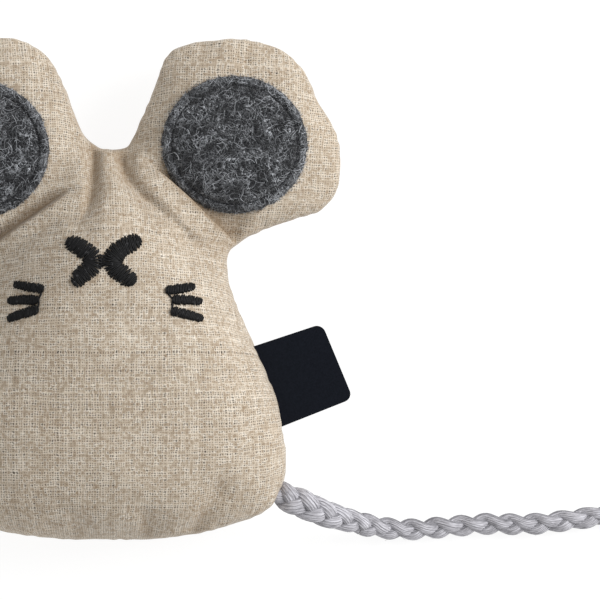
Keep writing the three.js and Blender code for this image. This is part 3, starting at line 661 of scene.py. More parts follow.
def build_skin(settings):
    """The whole linen skin as one closed mesh, front faces first slot and back faces second."""
    outline = smooth_line(OUTLINE, OUTLINE_SPACING, closed=True)
    swell = SwellMap(outline)
    corners, triangles, rim = plan_patch(outline, panel_points(outline))
    away = np.where(rim, 0.0, near_line(corners, outline, closed=True)[0])
    front_swell, back_swell = (
        swell_height(corners, away, swell, fullness, body, settings.ear_swell)
        for fullness, body in ((FRONT_FULLNESS, settings.front_swell), (BACK_FULLNESS, settings.back_swell)))
    inner = smoothstep(0.0, FOLD_EDGE, away)
    drop = fold_drop(corners, FRONT_FOLDS) * inner
    plan, height = add_lips(corners, front_swell - drop)
    height = np.where(rim, 0.0, np.maximum(height, LEAST_SWELL))
    # The back is flat where the mouse lies on it.
    depth = np.minimum(back_swell, SEAM) - fold_drop(corners, BACK_FOLDS) * inner
    depth = np.where(rim, 0.0, np.maximum(depth, LEAST_SWELL))
    front = np.column_stack([plan, SEAM + height])
    back = np.column_stack([corners, SEAM - depth])[~rim]
    turned = np.where(rim, np.arange(len(corners)), len(corners) + np.cumsum(~rim) - 1)
    faces = triangles + [tuple(int(turned[i]) for i in reversed(face)) for face in triangles]
    skin = new_piece("skin", np.concatenate([front, back]) * MM, faces, None)
    skin.data.materials.append(None)
    skin.data.polygons.foreach_set("material_index", [0] * len(triangles) + [1] * len(triangles))
    edit_whole(skin, bpy.ops.mesh.tris_convert_to_quads, materials=True)
    held_front = np.maximum(smoothstep(*HELD_DROP, drop), rim)
    for side in LIPS:
        out, stands = lip_places(side, corners)
        held_front = np.maximum(held_front, stands * (1 - smoothstep(*HELD_LIP, np.abs(out))))
    held_back = (1 - smoothstep(0.0, HELD_REST, SEAM - depth))[~rim]
    let_settle(skin, np.concatenate([held_front, held_back]), settings)
    lay_flat(skin)
    soften = skin.modifiers.new("soften", "SUBSURF")
    soften.levels = soften.render_levels = 1
    bpy.ops.object.modifier_apply(modifier=soften.name)
    sew_seam(skin.data, outline)
    cut_ears(skin.data)
    return skin


def loop_values(mesh):
    """The corner and the slot that each loop of the mesh belongs to, and its place in the UV map."""
    slots, sizes = (read(mesh.polygons, name, 1, int) for name in ("material_index", "loop_total"))
    flat = read(mesh.uv_layers[WEAVE_MAP].data, "uv", 2)
    return read(mesh.loops, "vertex_index", 1, int), np.repeat(slots, sizes), flat


def lay_flat(skin):
    """Lays the front and the back out flat as they were cut, to scale and square with the mouse."""
    mesh = skin.data
    mesh.uv_layers.new(name=WEAVE_MAP)
    form = bmesh.new()
    form.from_mesh(mesh)
    for edge in form.edges:
        edge.seam = len({face.material_index for face in edge.link_faces}) > 1
    form.to_mesh(mesh)
    form.free()
    edit_whole(skin, bpy.ops.uv.unwrap, method="MINIMUM_STRETCH", iterations=30, margin=0.01)
    corner, slot, flat = loop_values(mesh)
    plan = coordinates(mesh)[corner, :2]
    middle = np.linalg.norm(plan, axis=1) < MIDDLE_REACH * MM
    for side in (0, 1):
        mine, core = slot == side, (slot == side) & middle
        q, p = flat[core] - flat[core].mean(0), plan[core] - plan[core].mean(0)
        turn, _, back = np.linalg.svd(q.T @ p)
        size = math.sqrt((p * p).sum() / (q * q).sum())
        flat[mine] = (flat[mine] - flat[core].mean(0)) @ (turn @ back) * size + plan[core].mean(0)
    mesh.uv_layers[WEAVE_MAP].data.foreach_set("uv", np.ascontiguousarray(flat).ravel())


def cut_ears(mesh):
    """Cuts the skin along each ear's root, where its pieces part."""
    form = bmesh.new()
    form.from_mesh(mesh)
    for side, ear in EARS.items():
        way = 1.0 if side == "right" else -1.0
        faces = [face for face in form.faces if way * face.calc_center_median().x > -MM]
        geometry = list({item for face in faces for item in (*face.verts, *face.edges)}) + faces
        bmesh.ops.bisect_plane(form, geom=geometry, dist=1e-7, plane_co=ear.at(EAR_SPLIT),
                               plane_no=(*ear.out, 0.0))
    form.to_mesh(mesh)
    form.free()


def linen_parts(mesh):
    """The skin's faces, shared out between the body and the ears, front and back."""
    parts = {}
    for face in mesh.polygons:
        place = np.array(face.center[:2])[None] / MM
        side = "right" if place[0, 0] > 0 else "left"
        owner = side + "_ear" if EARS[side].split(place)[0][0] > EAR_SPLIT else "body"
        facing = "back" if face.material_index else "front"
        parts.setdefault((owner, facing), []).append(tuple(face.vertices))
    return parts


# Meshes

def activate(piece):
    """Makes one object the only selected one."""
    bpy.ops.object.select_all(action="DESELECT")
    bpy.context.view_layer.objects.active = piece
    piece.select_set(True)


def edit_whole(piece, operator, **options):
    """Runs an operator on the whole of a mesh in edit mode."""
    activate(piece)
    bpy.ops.object.mode_set(mode="EDIT")
    bpy.ops.mesh.select_all(action="SELECT")
    operator(**options)
    bpy.ops.object.mode_set(mode="OBJECT")


def read(items, name, width=1, kind=float):
    """One value of each item of a mesh, or a row of a width where the value has several numbers."""
    values = np.empty(len(items) * width, kind)
    items.foreach_get(name, values)
    return values.reshape(-1, width) if width > 1 else values


def coordinates(mesh):
    """The mesh's corners as rows of numbers."""
    return read(mesh.vertices, "co", 3)


def corner_normals(mesh):
    """The direction that each corner of the mesh faces."""
    return read(mesh.vertex_normals, "vector", 3)


def place_corners(mesh, places):
    """Puts the mesh's corners at the places given."""
    mesh.vertices.foreach_set("co", np.ascontiguousarray(places).ravel())
    mesh.update()


def link_object(name, mesh):
    """A new object of the scene with a mesh."""
    piece = bpy.data.objects.new(name, mesh)
    bpy.context.collection.objects.link(piece)
    return piece


def new_piece(name, corners, faces, material):
    """A new smooth object of the scene, made of corners and faces in metres."""
    mesh = bpy.data.meshes.new(name)
    mesh.from_pydata(np.asarray(corners).tolist(), [], faces)
    mesh.materials.append(material)
    mesh.polygons.foreach_set("use_smooth", [True] * len(mesh.polygons))
    mesh.update()
    return link_object(name, mesh)


def declare(piece, body, slot, *nodes):
    """Names the body that a piece rides on, and hides the nodes that it stands in for; the slot is not used.
    """
    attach(piece, body)
    if nodes:
        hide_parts(*nodes)


def write_map(mesh, name, values):
    """Stores a cloth place for each corner as a UV map."""
    rows = values[read(mesh.loops, "vertex_index", 1, int)]
    mesh.uv_layers.new(name=name).data.foreach_set("uv", np.ascontiguousarray(rows).ravel())


def write_shade(mesh, values):
    """Stores a shade between zero and one for each corner."""
    shade = mesh.attributes.new(SHADE, "FLOAT", "POINT")
    shade.data.foreach_set("value", np.asarray(values, float))


def cloth_piece(name, corners, faces, normals, places, thickness, material, shades=None):
    """Cloth of a thickness: the outer face as given, an inner face under it, and the rim between them."""
    used = sorted({i for face in faces for i in face})
    renumber = {old: new for new, old in enumerate(used)}
    outer = [tuple(renumber[i] for i in face) for face in faces]
    count = len(used)
    ends = dict.fromkeys(pair for face in outer for pair in zip(face, face[1:] + face[:1]))
    rim = [(b, a, a + count, b + count) for a, b in ends if (b, a) not in ends]
    inner = [tuple(i + count for i in reversed(face)) for face in outer]
    top, facing = corners[used], normals[used]
    both = np.concatenate([top, top - thickness * facing])
    piece = new_piece(name, both, outer + rim + inner, material)
    write_map(piece.data, WEAVE_MAP, np.concatenate([places[used]] * 2))
    if shades is not None:
        write_shade(piece.data, np.concatenate([shades[used]] * 2))
    piece.data.normals_split_custom_set_from_vertices(np.concatenate([facing, -facing]).tolist())
    return piece


def round_section(sides):
    """The points of a round cross-section of radius one."""
    return circle(even_turns(sides))


def ribbed_section(ribs, depth, flatness):
    """The points of a flattened cross-section with a rib for each yarn that lies on it."""
    turns = even_turns(4 * ribs)
    reach = 1 - depth + depth * np.abs(np.sin(ribs * turns / 2))
    return reach[:, None] * np.stack([np.cos(turns), flatness * np.sin(turns)], 1)


def quads(*corners):
    """Faces of four corners each, from four arrays of their numbers."""
    return [tuple(quad) for quad in np.stack(corners, -1).reshape(-1, 4).tolist()]


def tubes(lines, radii, section, ups=None):
    """Tubes of a cross-section along lines of points: corners, faces, and each corner's length and turn."""
    corners, faces, places, base = [], [], [], 0
    sides = len(section)
    turns = np.linspace(0.0, 1.0, sides, endpoint=False)
    for number, (line, radius) in enumerate(zip(lines, radii)):
        run = unit(np.gradient(line, axis=0))
        plain = np.where(np.abs(run[:, 2:]) > UPRIGHT, [[1.0, 0.0, 0.0]], [UP])
        side = unit(np.cross(plain if ups is None else ups[number], run))
        over = np.cross(run, side)
        thick = np.broadcast_to(radius, len(line))[:, None, None]
        ring = (section[None, :, :1] * side[:, None] + section[None, :, 1:] * over[:, None]) * thick
        corners.append((line[:, None] + ring).reshape(-1, 3))
        spread = np.broadcast_arrays(lengths_along(line)[:, None], turns[None])
        places.append(np.stack(spread, -1).reshape(-1, 2))
        rings = base + np.arange(len(line) * sides).reshape(len(line), sides)
        after = np.roll(rings, -1, 1)
        faces += quads(rings[:-1], after[:-1], after[1:], rings[1:])
        faces += [tuple(reversed(rings[0].tolist())), tuple(rings[-1].tolist())]
        base += len(line) * sides
    return np.concatenate(corners), faces, np.concatenate(places)


def thread_piece(name, lines, radii, section, material, ups=None):
    """A piece made of threads along lines."""
    corners, faces, places = tubes(lines, radii, section, ups)
    piece = new_piece(name, corners, faces, material)
    write_map(piece.data, YARN_MAP, places)
    return piece


def surface_of(*names):
    """The faces of pieces of cloth, as a tree that other pieces are laid on."""
    corners, faces = [], []
    for name in names:
        mesh = bpy.data.objects[name].data
        faces += [tuple(i + len(corners) for i in face.vertices) for face in mesh.polygons]
        corners += [vertex.co.copy() for vertex in mesh.vertices]
    return BVHTree.FromPolygons(corners, faces)


def level_on(tree, places):
    """Height of the tree's top face at each place, in metres."""
    down = Vector((0.0, 0.0, -1.0))
    return np.array([tree.ray_cast(Vector((x, y, RAY_START)), down)[0].z for x, y in places])


# Materials

class Sketch:
    """Adds nodes to a tree and links them as they are added."""

    def __init__(self, tree):
        self.tree = tree

    def feed(self, socket, value):
        """Links a socket to another one's value, or sets it to a plain value."""
        if isinstance(value, bpy.types.NodeSocket):
            self.tree.links.new(value, socket)
        else:
            socket.default_value = value

    def add(self, kind, inputs=(), **settings):
        """A node of a kind, with its settings made and its inputs fed."""
        node = self.tree.nodes.new("ShaderNode" + kind)
        for key, value in settings.items():
            setattr(node, key, value)
        for key, value in dict(inputs).items():
            self.feed(node.inputs[key], value)
        return node

    def shade(self, **inputs):
        """Feeds the material's shader."""
        shader = self.tree.nodes["Principled BSDF"]
        for key, value in inputs.items():
            self.feed(shader.inputs[key.replace("_", " ")], value)

    def math(self, operation, *values):
        """The result of one sum on values."""
        return self.add("Math", enumerate(values), operation=operation).outputs[0]

    def times(self, a, b):
        """One value times another."""
        return self.math("MULTIPLY", a, b)

    def madd(self, a, b, c):
        """One value times another, plus a third."""
        return self.math("MULTIPLY_ADD", a, b, c)

    def rest(self, value):
        """What is left of one after a value."""
        return self.math("SUBTRACT", 1.0, value)

    def step(self, value, low, high):
        """A smooth rise from zero to one between two values."""
        return self.add("MapRange", {"Value": value, "From Min": low, "From Max": high},
                        interpolation_type="SMOOTHSTEP").outputs["Result"]

    def mix(self, factor, a, b):
        """A colour between two colours."""
        return self.add("Mix", data_type="RGBA", inputs={0: factor, 6: a, 7: b}).outputs[2]

    def blend(self, factor, a, b):
        """A value between two values."""
        return self.add("Mix", {0: factor, 2: a, 3: b}).outputs[0]

    def noise(self, place, scale, detail=2.0, rough=0.5):
        """Smooth noise over a place."""
        return self.add("TexNoise", {"Vector": place, "Scale": scale, "Detail": detail,
                                     "Roughness": rough}).outputs["Fac"]

    def vector(self, operation, inputs):
        """The result of one sum on places."""
        return self.add("VectorMath", inputs, operation=operation).outputs[0]

    def pair(self, x, y):
        """A place made of two values."""
        return self.add("CombineXYZ", {"X": x, "Y": y}).outputs["Vector"]

    def split(self, place):
        """The values that a place is made of."""
        return self.add("SeparateXYZ", {"Vector": place}).outputs

    def cloth_place(self, name):
        """The place in a UV map."""
        return self.add("UVMap", uv_map=name).outputs["UV"]

    def object_place(self):
        """The place in the object."""
        return self.add("TexCoord").outputs["Object"]

    def stored_shade(self):
        """The shade stored with the corners."""
        return self.add("Attribute", attribute_name=SHADE).outputs["Fac"]

    def ramp(self, value, stops):
        """A colour read off a row of colours."""
        node = self.add("ValToRGB", {"Fac": value})
        marks = node.color_ramp.elements
        while len(marks) < len(stops):
            marks.new(1.0)
        for mark, (place, colour) in zip(marks, stops):
            mark.position, mark.color = place, colour
        return node.outputs["Color"]

    def bump(self, height, distance, strength):
        """A normal raised by a height."""
        return self.add("Bump", {"Height": height, "Distance": distance,
                                 "Strength": strength}).outputs["Normal"]


def new_material(name, roughness, sheen=0.0, specular=0.25):
    """A material with its plain shader values, and the sketch for its nodes."""
    material = bpy.data.materials.new(name)
    material.use_nodes = True
    s = Sketch(material.node_tree)
    s.shade(Roughness=roughness, Sheen_Weight=sheen, Specular_IOR_Level=specular)
    return material, s


def new_group(name, inputs, outputs):
    """A node group with its sockets, and the sketch for its nodes."""
    tree = bpy.data.node_groups.new(name, "ShaderNodeTree")
    for label, kind in inputs:
        tree.interface.new_socket(label, in_out="INPUT", socket_type=kind)
    for label in outputs:
        tree.interface.new_socket(label, in_out="OUTPUT", socket_type="NodeSocketFloat")
    given, result = (tree.nodes.new(kind) for kind in ("NodeGroupInput", "NodeGroupOutput"))
    return tree, Sketch(tree), given.outputs, result.inputs


def plain_weave():
    """Threads that pass over and under each other: their tone, a mask of painted shade in the gaps between
    them and along their edges, slubs and height.
    """
    ready = bpy.data.node_groups.get("plain_weave")
    if ready:
        return ready
    tree, s, given, result = new_group(
        "plain_weave", [("Place", "NodeSocketVector"), ("Threads", "NodeSocketFloat")],
        ["Tone", "Gap", "Slub", "Height"])
    scaled = wander = s.vector("SCALE", {0: given["Place"], "Scale": given["Threads"]})
    for reach, scale, detail in WANDERS:
        noise = s.add("TexNoise", {"Vector": scaled, "Scale": scale, "Detail": detail})
        wander = s.vector("MULTIPLY_ADD", {0: noise.outputs["Color"], 1: (reach, reach, 0.0), 2: wander})
    split = s.split(wander)
    uneven = {}
    for axis, start in PACE_STARTS.items():
        pace = s.add("TexNoise", {"W": s.madd(split[axis], PACE_SCALE, start), "Scale": 1.0, "Detail": 2.0},
                     noise_dimensions="1D").outputs["Fac"]
        uneven[axis] = s.madd(pace, PACE, split[axis])
    heights, tones, slubs, edges = [], [], [], []
    for own, other, sign in (("X", "Y", 0.5), ("Y", "X", -0.5)):
        index = s.math("FLOOR", uneven[own])
        fat = s.add("TexWhiteNoise", {"W": index}, noise_dimensions="1D").outputs["Value"]
        apart = s.math("ABSOLUTE", s.madd(s.math("FRACT", uneven[own]), 2.0, -1.0))
        edges.append(apart)
        round_top = s.rest(s.math("POWER", apart, s.madd(fat, *SQUARENESS)))
        passed = s.math("ADD", s.math("SUBTRACT", uneven[other], 0.5), index)
        over = s.madd(s.math("COSINE", s.times(passed, math.pi)), sign, 0.5)
        heights.append(s.times(round_top, s.madd(over, CRIMP, 1 - CRIMP)))
        strand = s.pair(s.times(split[other], TONE_RUN), s.madd(index, TONE_STEP, TONE_START * sign))
        slow = s.noise(strand, 1.0, detail=4.0, rough=0.7)
        tones.append(s.madd(fat, TONE_FAT, s.madd(slow, TONE_SLOW, TONE_BASE)))
        long_strand = s.pair(s.times(split[other], SLUB_RUN), s.madd(index, SLUB_STEP, SLUB_START * sign))
        slubs.append(s.step(s.noise(long_strand, 1.0), SLUB_FROM[own], SLUB_FULL))
    first_over = s.math("GREATER_THAN", *heights)
    tone, slub, edge = (s.blend(first_over, second, first) for first, second in (tones, slubs, edges))
    cell = s.pair(*(s.math("FLOOR", s.math("ADD", uneven[axis], 0.5)) for axis in "XY"))
    chance = s.add("TexWhiteNoise", {"Vector": cell}, noise_dimensions="2D").outputs["Value"]
    top = s.math("MAXIMUM", *heights)
    hole = s.step(top, HOLE_FROM, s.madd(chance, HOLE_VARIES, HOLE_LEAST))
    shut = s.rest(s.times(s.step(edge, *EDGE_LINE), s.madd(chance, EDGE_VARIES, 1 - EDGE_VARIES)))
    s.feed(result["Tone"], s.madd(chance, CELL_TONE, s.math("SUBTRACT", tone, CELL_TONE / 2)))
    s.feed(result["Gap"], s.times(hole, shut))
    s.feed(result["Slub"], slub)
    s.feed(result["Height"], top)
    return tree


def weave_on(s, pitch):
    """The weave's outputs on a cloth, and the cloth's places."""
    place = s.cloth_place(WEAVE_MAP)
    node = s.add("Group", node_tree=plain_weave())
    s.feed(node.inputs["Place"], place)
    s.feed(node.inputs["Threads"], 1.0 / pitch)
    return node.outputs, place


def linen_material(settings):
    """Natural linen: a plain weave of uneven flax threads with brown slubs, with painted shade between the
    threads and in each crease.
    """
    material, s = new_material("linen", roughness=0.92, sheen=0.15, specular=0.1)
    weave, place = weave_on(s, settings.thread_pitch)
    tone = s.ramp(weave["Tone"], [(0.05, settings.tan), (0.5, settings.flax), (0.95, settings.pale)])
    slubbed = s.mix(s.times(weave["Slub"], LINEN_SLUBS), tone, settings.slub)
    small, large = (s.times(s.noise(place, scale, detail=3.0), share) for scale, share in LINEN_CLOUDS)
    cloudy = s.step(s.math("ADD", small, large), 0.38, 0.68)
    shaded = s.mix(s.times(cloudy, LINEN_CLOUDINESS), slubbed, settings.tan)
    # Painted shade in the gaps between the threads and along their edges.
    woven = s.mix(weave["Gap"], settings.gap, shaded)
    # Painted shade in each crease, on the ear's side of each roll and along the seam's groove.
    crease_shaded = s.mix(s.times(s.stored_shade(), LINEN_CREASE_SHADE), woven, settings.crease)
    s.shade(Base_Color=crease_shaded, Normal=s.bump(weave["Height"], distance=0.00012, strength=0.5))
    return material


def felt_material(settings):
    """Marled wool felt: light fibres matted into dark ones."""
    material, s = new_material("felt", roughness=0.95, sheen=0.25, specular=0.1)
    place = s.object_place()
    fibres = None
    for scale, shift, share in FELT_MATS:
        moved = s.vector("ADD", {0: place, 1: (shift, shift, 0.0)})
        wave = s.times(s.noise(moved, scale, detail=1.0, rough=0.4), FELT_BANDS)
        line = s.math("ABSOLUTE", s.math("SUBTRACT", s.math("FRACT", wave), 0.5))
        strand = s.times(s.rest(s.step(line, 0.03, 0.14)), share)
        fibres = strand if fibres is None else s.math("MAXIMUM", fibres, strand)
    patches = s.step(s.noise(place, 250.0, detail=4.0, rough=0.7), 0.42, 0.62)
    lit = s.times(fibres, s.madd(patches, 0.9, 0.05))
    s.shade(Base_Color=s.mix(lit, settings.dark, settings.light),
            Normal=s.bump(s.math("ADD", fibres, patches), distance=0.0002, strength=0.8))
    return material


def fibre_material(settings):
    """Loose felt fibres, each of its own shade."""
    material, s = new_material("felt_fibre", roughness=0.9, sheen=0.2, specular=0.15)
    s.shade(Base_Color=s.mix(s.stored_shade(), settings.dark, settings.light))
    return material


def thread_material(name, colour, lint_and_sheen, gloss):
    """Twisted thread: fine turns along it and grey specks, partly lint and partly a painted sheen."""
    material, s = new_material(name, roughness=1.0 - gloss, specular=0.12 + 0.3 * gloss)
    split = s.split(s.cloth_place(YARN_MAP))
    turn = s.math("SINE", s.times(s.madd(split["X"], THREAD_TURNS, split["Y"]), 2 * math.pi))
    spots = s.step(s.noise(s.object_place(), 1400.0), 0.58, 0.8)
    s.shade(Base_Color=s.mix(s.times(spots, THREAD_LINT_AND_SHEEN), colour, lint_and_sheen),
            Normal=s.bump(turn, distance=0.00003, strength=0.5))
    return material


def yarn_material(settings):
    """Soft cotton yarn with fibres running along it, and painted shade in the grooves between its yarns and
    along the edges of each strand.
    """
    material, s = new_material("tail_cotton", roughness=0.9, sheen=0.2, specular=0.1)
    split = s.split(s.cloth_place(YARN_MAP))
    turned = s.madd(split["X"], 260.0, s.times(split["Y"], 9.0))
    streaks = s.noise(s.pair(s.times(split["X"], 240.0), turned), 2.0, detail=3.0, rough=0.6)
    slow = s.noise(s.object_place(), 260.0)
    tone = s.madd(streaks, 1.0, s.madd(slow, 0.6, -0.25))
    colour = s.ramp(tone, [(0.2, settings.deep), (0.55, settings.cotton), (0.9, settings.bright)])
    # Painted shade: darker in the grooves between the yarns and along the edges of each strand.
    stray = s.noise(s.pair(s.times(split["X"], 190.0), s.times(split["Y"], 5.0)), 1.0)
    yarns = s.times(s.madd(stray, YARN_STRAYS, split["Y"]), STRAND_RIBS * math.pi)
    between = s.math("ABSOLUTE", s.math("SINE", yarns))
    groove = s.rest(s.step(between, 0.0, s.madd(slow, 0.9, 0.05)))
    edge = s.math("ABSOLUTE", s.math("COSINE", s.times(split["Y"], 2 * math.pi)))
    brink_shade = s.step(edge, STRAND_BRINK, 1.0)
    dark = s.math("MAXIMUM", s.times(groove, YARN_GROOVE_SHADE), s.times(brink_shade, STRAND_EDGE_SHADE))
    s.shade(Base_Color=s.mix(dark, colour, settings.groove),
            Normal=s.bump(streaks, distance=0.00012, strength=0.6))
    return material


def label_material(settings):
    """Close-woven black tape with a satin face."""
    material, s = new_material("label_tape", roughness=0.6, specular=0.04)
    weave, _ = weave_on(s, settings.tape_pitch)
    # The tape is lighter on its raised threads.
    tone = s.madd(weave["Tone"], 0.5, s.times(weave["Height"], 0.3))
    s.shade(Base_Color=s.mix(tone, settings.black, settings.raised_tone),
            Normal=s.bump(weave["Height"], distance=0.00004, strength=0.4))
    return material


def soft_material(name, dark, light, scale, roughness):
    """Matted stuff in two tones, for the pieces inside."""
    material, s = new_material(name, roughness, sheen=0.1, specular=0.1)
    mottle = s.noise(s.object_place(), scale, detail=5.0, rough=0.65)
    s.shade(Base_Color=s.mix(s.step(mottle, 0.35, 0.65), dark, light),
            Normal=s.bump(mottle, distance=0.0006, strength=0.6))
    return material


# Settings

def number_setting(name, description, default, **more):
    """A plain number that the user can change."""
    return FloatProperty(name=name, description=description, default=default, **more)


def length_setting(name, description, default):
    """A length that the user can change."""
    return number_setting(name, description, default, min=0.0, unit="LENGTH", precision=5)


def colour_setting(name, description, default):
    """A colour that the user can change."""
    return FloatVectorProperty(name=name, description=description, default=(*default, 1.0), size=4,
                               min=0.0, max=1.0, subtype="COLOR")


class MouseLinen(bpy.types.PropertyGroup):
    """The linen skin's sizes and colours."""

    front_swell: length_setting("Front swell", "Height of the belly over the seam", 0.0222)
    back_swell: length_setting("Back swell", "Depth of the back under the seam", 0.0174)
    ear_swell: length_setting("Ear swell", "Height of an ear over the seam, and its depth under it", 0.0086)
    thickness: length_setting("Thickness", "Thickness of the linen", 0.0006)
    thread_pitch: length_setting("Thread pitch", "Distance between threads", 0.00064)
    slack: number_setting("Slack", "Spare cloth that the filling eases out", 0.03, min=0.0)
    pressure: number_setting("Pressure", "How hard the filling pushes", 4.0, min=0.0)
    flax: colour_setting("Flax", "Colour of a common thread", (0.575, 0.493, 0.393))
    pale: colour_setting("Pale", "Colour of a bleached thread", (0.77, 0.703, 0.605))
    tan: colour_setting("Tan", "Colour of a dark thread", (0.335, 0.262, 0.188))
    slub: colour_setting("Slub", "Colour of a slub", (0.24, 0.16, 0.09))
    # The gap colour is painted shade between the threads.
    gap: colour_setting("Gap", "Colour between the threads", (0.05, 0.035, 0.022))
    # The crease colour is painted shade: in each crease of the front, on the ear's side of each roll, and
    # along the seam's groove.
    crease: colour_setting("Crease", "Colour deep in a crease", (0.23, 0.15, 0.08))


class MouseFelt(bpy.types.PropertyGroup):
    """The felt discs' sizes and colours."""

    half_width: length_setting("Half width", "Half of a disc's width", 0.01815)
    half_height: length_setting("Half height", "Half of a disc's height", 0.01715)
    thickness: length_setting("Thickness", "Thickness of the felt", 0.0016)
    stitch_inset: length_setting("Stitch inset", "Distance of the topstitch from the edge", 0.0024)
    stitch_length: length_setting("Stitch length", "Length of a topstitch", 0.0025)
    stitch_thread: length_setting("Stitch thread", "Thickness of the topstitch thread", 0.00045)
    fibres: IntProperty(name="Fibres", description="Loose fibres on each disc", default=3200, min=0)
    dark: colour_setting("Dark", "Colour of the dark wool", (0.012, 0.0125, 0.0145))
    light: colour_setting("Light", "Colour of the light wool", (0.59, 0.613, 0.65))
    stitch: colour_setting("Stitch", "Colour of the topstitch", (0.03, 0.031, 0.035))


class MouseStitch(bpy.types.PropertyGroup):
    """The embroidery's sizes and colour."""

    pitch: length_setting("Pitch", "Distance between stitches", 0.00040)
    thread: length_setting("Thread", "Thickness of the thread", 0.00052)
    rise: length_setting("Rise", "How far a stitch bows up", 0.00045)
    black: colour_setting("Black", "Colour of the thread", (0.004, 0.004, 0.0045))
    # Colour of the thread's grey specks: partly lint, partly a painted sheen.
    lint_and_sheen: colour_setting("Lint", "Colour of the lint on it", (0.09, 0.09, 0.096))


class MouseLabel(bpy.types.PropertyGroup):
    """The label's sizes and colours."""

    thickness: length_setting("Thickness", "Thickness of the tape", 0.0007)
    corner: length_setting("Corner", "Radius of the outer corners", 0.0021)
    tape_pitch: length_setting("Thread pitch", "Distance between the tape's threads", 0.00028)
    black: colour_setting("Black", "Colour of the tape", (0.004, 0.005, 0.0075))
    raised_tone: colour_setting("Worn", "Colour of its raised threads", (0.010, 0.012, 0.018))


class MouseTail(bpy.types.PropertyGroup):
    """The tail's sizes and colours."""

    width: length_setting("Width", "Width of the plait", 0.006)
    plait_pitch: length_setting("Plait pitch", "Length in which a strand comes round again", 0.0188)
    strand: length_setting("Strand", "Width of one strand", 0.0035)
    yarn: length_setting("Yarn", "Thickness of a yarn", 0.00098)
    cotton: colour_setting("Cotton", "Colour of the yarn", (0.48, 0.472, 0.505))
    bright: colour_setting("Bright", "Colour of its pale fibres", (0.74, 0.735, 0.785))
    deep: colour_setting("Deep", "Colour of its shaded fibres", (0.16, 0.157, 0.172))
    # The groove colour is painted shade: between the yarns and along the strands' edges.
    groove: colour_setting("Groove", "Colour between its yarns", (0.075, 0.074, 0.085))


class MouseStage(bpy.types.PropertyGroup):
    """The camera, floor and light."""

    field: length_setting("Field", "Width that the camera sees at the seam", 0.150)
    across: number_setting("Across", "Middle of the view, to the right", 0.0485, unit="LENGTH")
    up: number_setting("Up", "Middle of the view, upwards", 0.015, unit="LENGTH")
    distance: length_setting("Distance", "Height of the camera over the seam", 4.0)
    key: number_setting("Key", "Strength of the light from the right, in watts", 5.7)
    fill: number_setting("Fill", "Strength of the light from all round", 0.61)
    floor: colour_setting("Floor", "Colour of the floor", (0.20, 0.20, 0.20))
    glow: number_setting("Glow", "Strength of the light table under the floor", 0.86)


# Operators

class MOUSE_OT_stage(bpy.types.Operator):
    """Sets the camera over the mouse, and lays the floor and the light"""

    bl_idname = "mouse.stage"
    bl_label = "Stage"

    SENSOR = 36.0
    FAR = 10.0
    FLOOR_SIZE = 4.0
    KEY_PLACE = (0.62, 0.26, 0.46)
    KEY_SIZE = 0.45
    WHITE = (1.0, 1.0, 1.0, 1.0)

    def execute(self, context):
        settings = context.scene.mouse_stage
        scene = context.scene
        scene.view_settings.view_transform = "Standard"
        lens = bpy.data.cameras.new("camera")
        lens.sensor_width = self.SENSOR
        lens.lens = self.SENSOR * settings.distance / settings.field
        lens.clip_end = self.FAR
        camera = bpy.data.objects.new("camera", lens)
        camera.location = (settings.across, settings.up, SEAM * MM + settings.distance)
        scene.collection.objects.link(camera)
        scene.camera = camera
        bpy.ops.mesh.primitive_plane_add(size=self.FLOOR_SIZE, location=(0.0, 0.0, 0.0))
        floor = context.active_object
        floor.name = "floor"
        material, s = new_material("floor", roughness=0.9)
        s.shade(Base_Color=settings.floor, Emission_Color=self.WHITE, Emission_Strength=settings.glow)
        floor.data.materials.append(material)
        bpy.ops.object.light_add(type="AREA", location=self.KEY_PLACE)
        key = context.active_object
        key.name = "key"
        key.data.energy = settings.key
        key.data.size = self.KEY_SIZE
        key.rotation_euler = (-key.location).to_track_quat("-Z", "Y").to_euler()
        world = bpy.data.worlds.new("room")
        world.use_nodes = True
        sky = world.node_tree.nodes["Background"].inputs
        sky["Color"].default_value = self.WHITE
        sky["Strength"].default_value = settings.fill
        scene.world = world
        return {"FINISHED"}


def tail_line():
    """The tail's centre line in metres, evenly spaced."""
    pivot = np.array(JOINTS["tail_swing"]["pos_m"])
    points = [(pivot[0] + x * MM, pivot[1] + y * MM, z * MM) for x, y, z in TAIL_ROUTE]
    return smooth_line(points, TAIL_STEP * MM)


def plait_strands(line, settings):
    """Centre lines of a plait's strands round a line, their thickness, and which way is up on each."""
    run = unit(np.gradient(line, axis=0))
    side = unit(np.cross(UP, run))
    over = np.cross(run, side)
    length = lengths_along(line)
    out = length / MM - TAIL_INSIDE
    wide = np.interp(out, TAIL_OUT, TAIL_WIDTHS)
    pitch = settings.plait_pitch * np.interp(out, TAIL_OUT, TAIL_TURNS)
    turns = np.cumsum(np.gradient(length) / pitch)
    unwound = np.cos(TAIL_UNWIND * np.maximum(out - TAIL_UNWIND_OUT, 0.0))
    roll = TAIL_TWIST * smoothstep(*TAIL_TWIST_OUT, out) * unwound
    half = settings.strand / 2
    swing = settings.width / 2 - STRAND_TUCK * half
    strands, ups, radii = [], [], []
    for strand in range(STRANDS):
        phase = 2 * math.pi * (turns + strand / STRANDS)
        x = wide * swing * np.sin(phase)
        y = -wide * STRAND_LIFT * half * np.sin(2 * phase)
        across, high = x * np.cos(roll) - y * np.sin(roll), x * np.sin(roll) + y * np.cos(roll)
        strands.append(line + across[:, None] * side + high[:, None] * over)
        lean = roll - STRAND_TILT * np.sin(phase)
        ups.append(np.cos(lean)[:, None] * over - np.sin(lean)[:, None] * side)
        wave = sum(np.sin(length / (pace * MM) + step * strand) for pace, step in STRAND_WAVES)
        radii.append(half * wide * (1 + STRAND_UNEVEN * wave))
    return strands, radii, ups


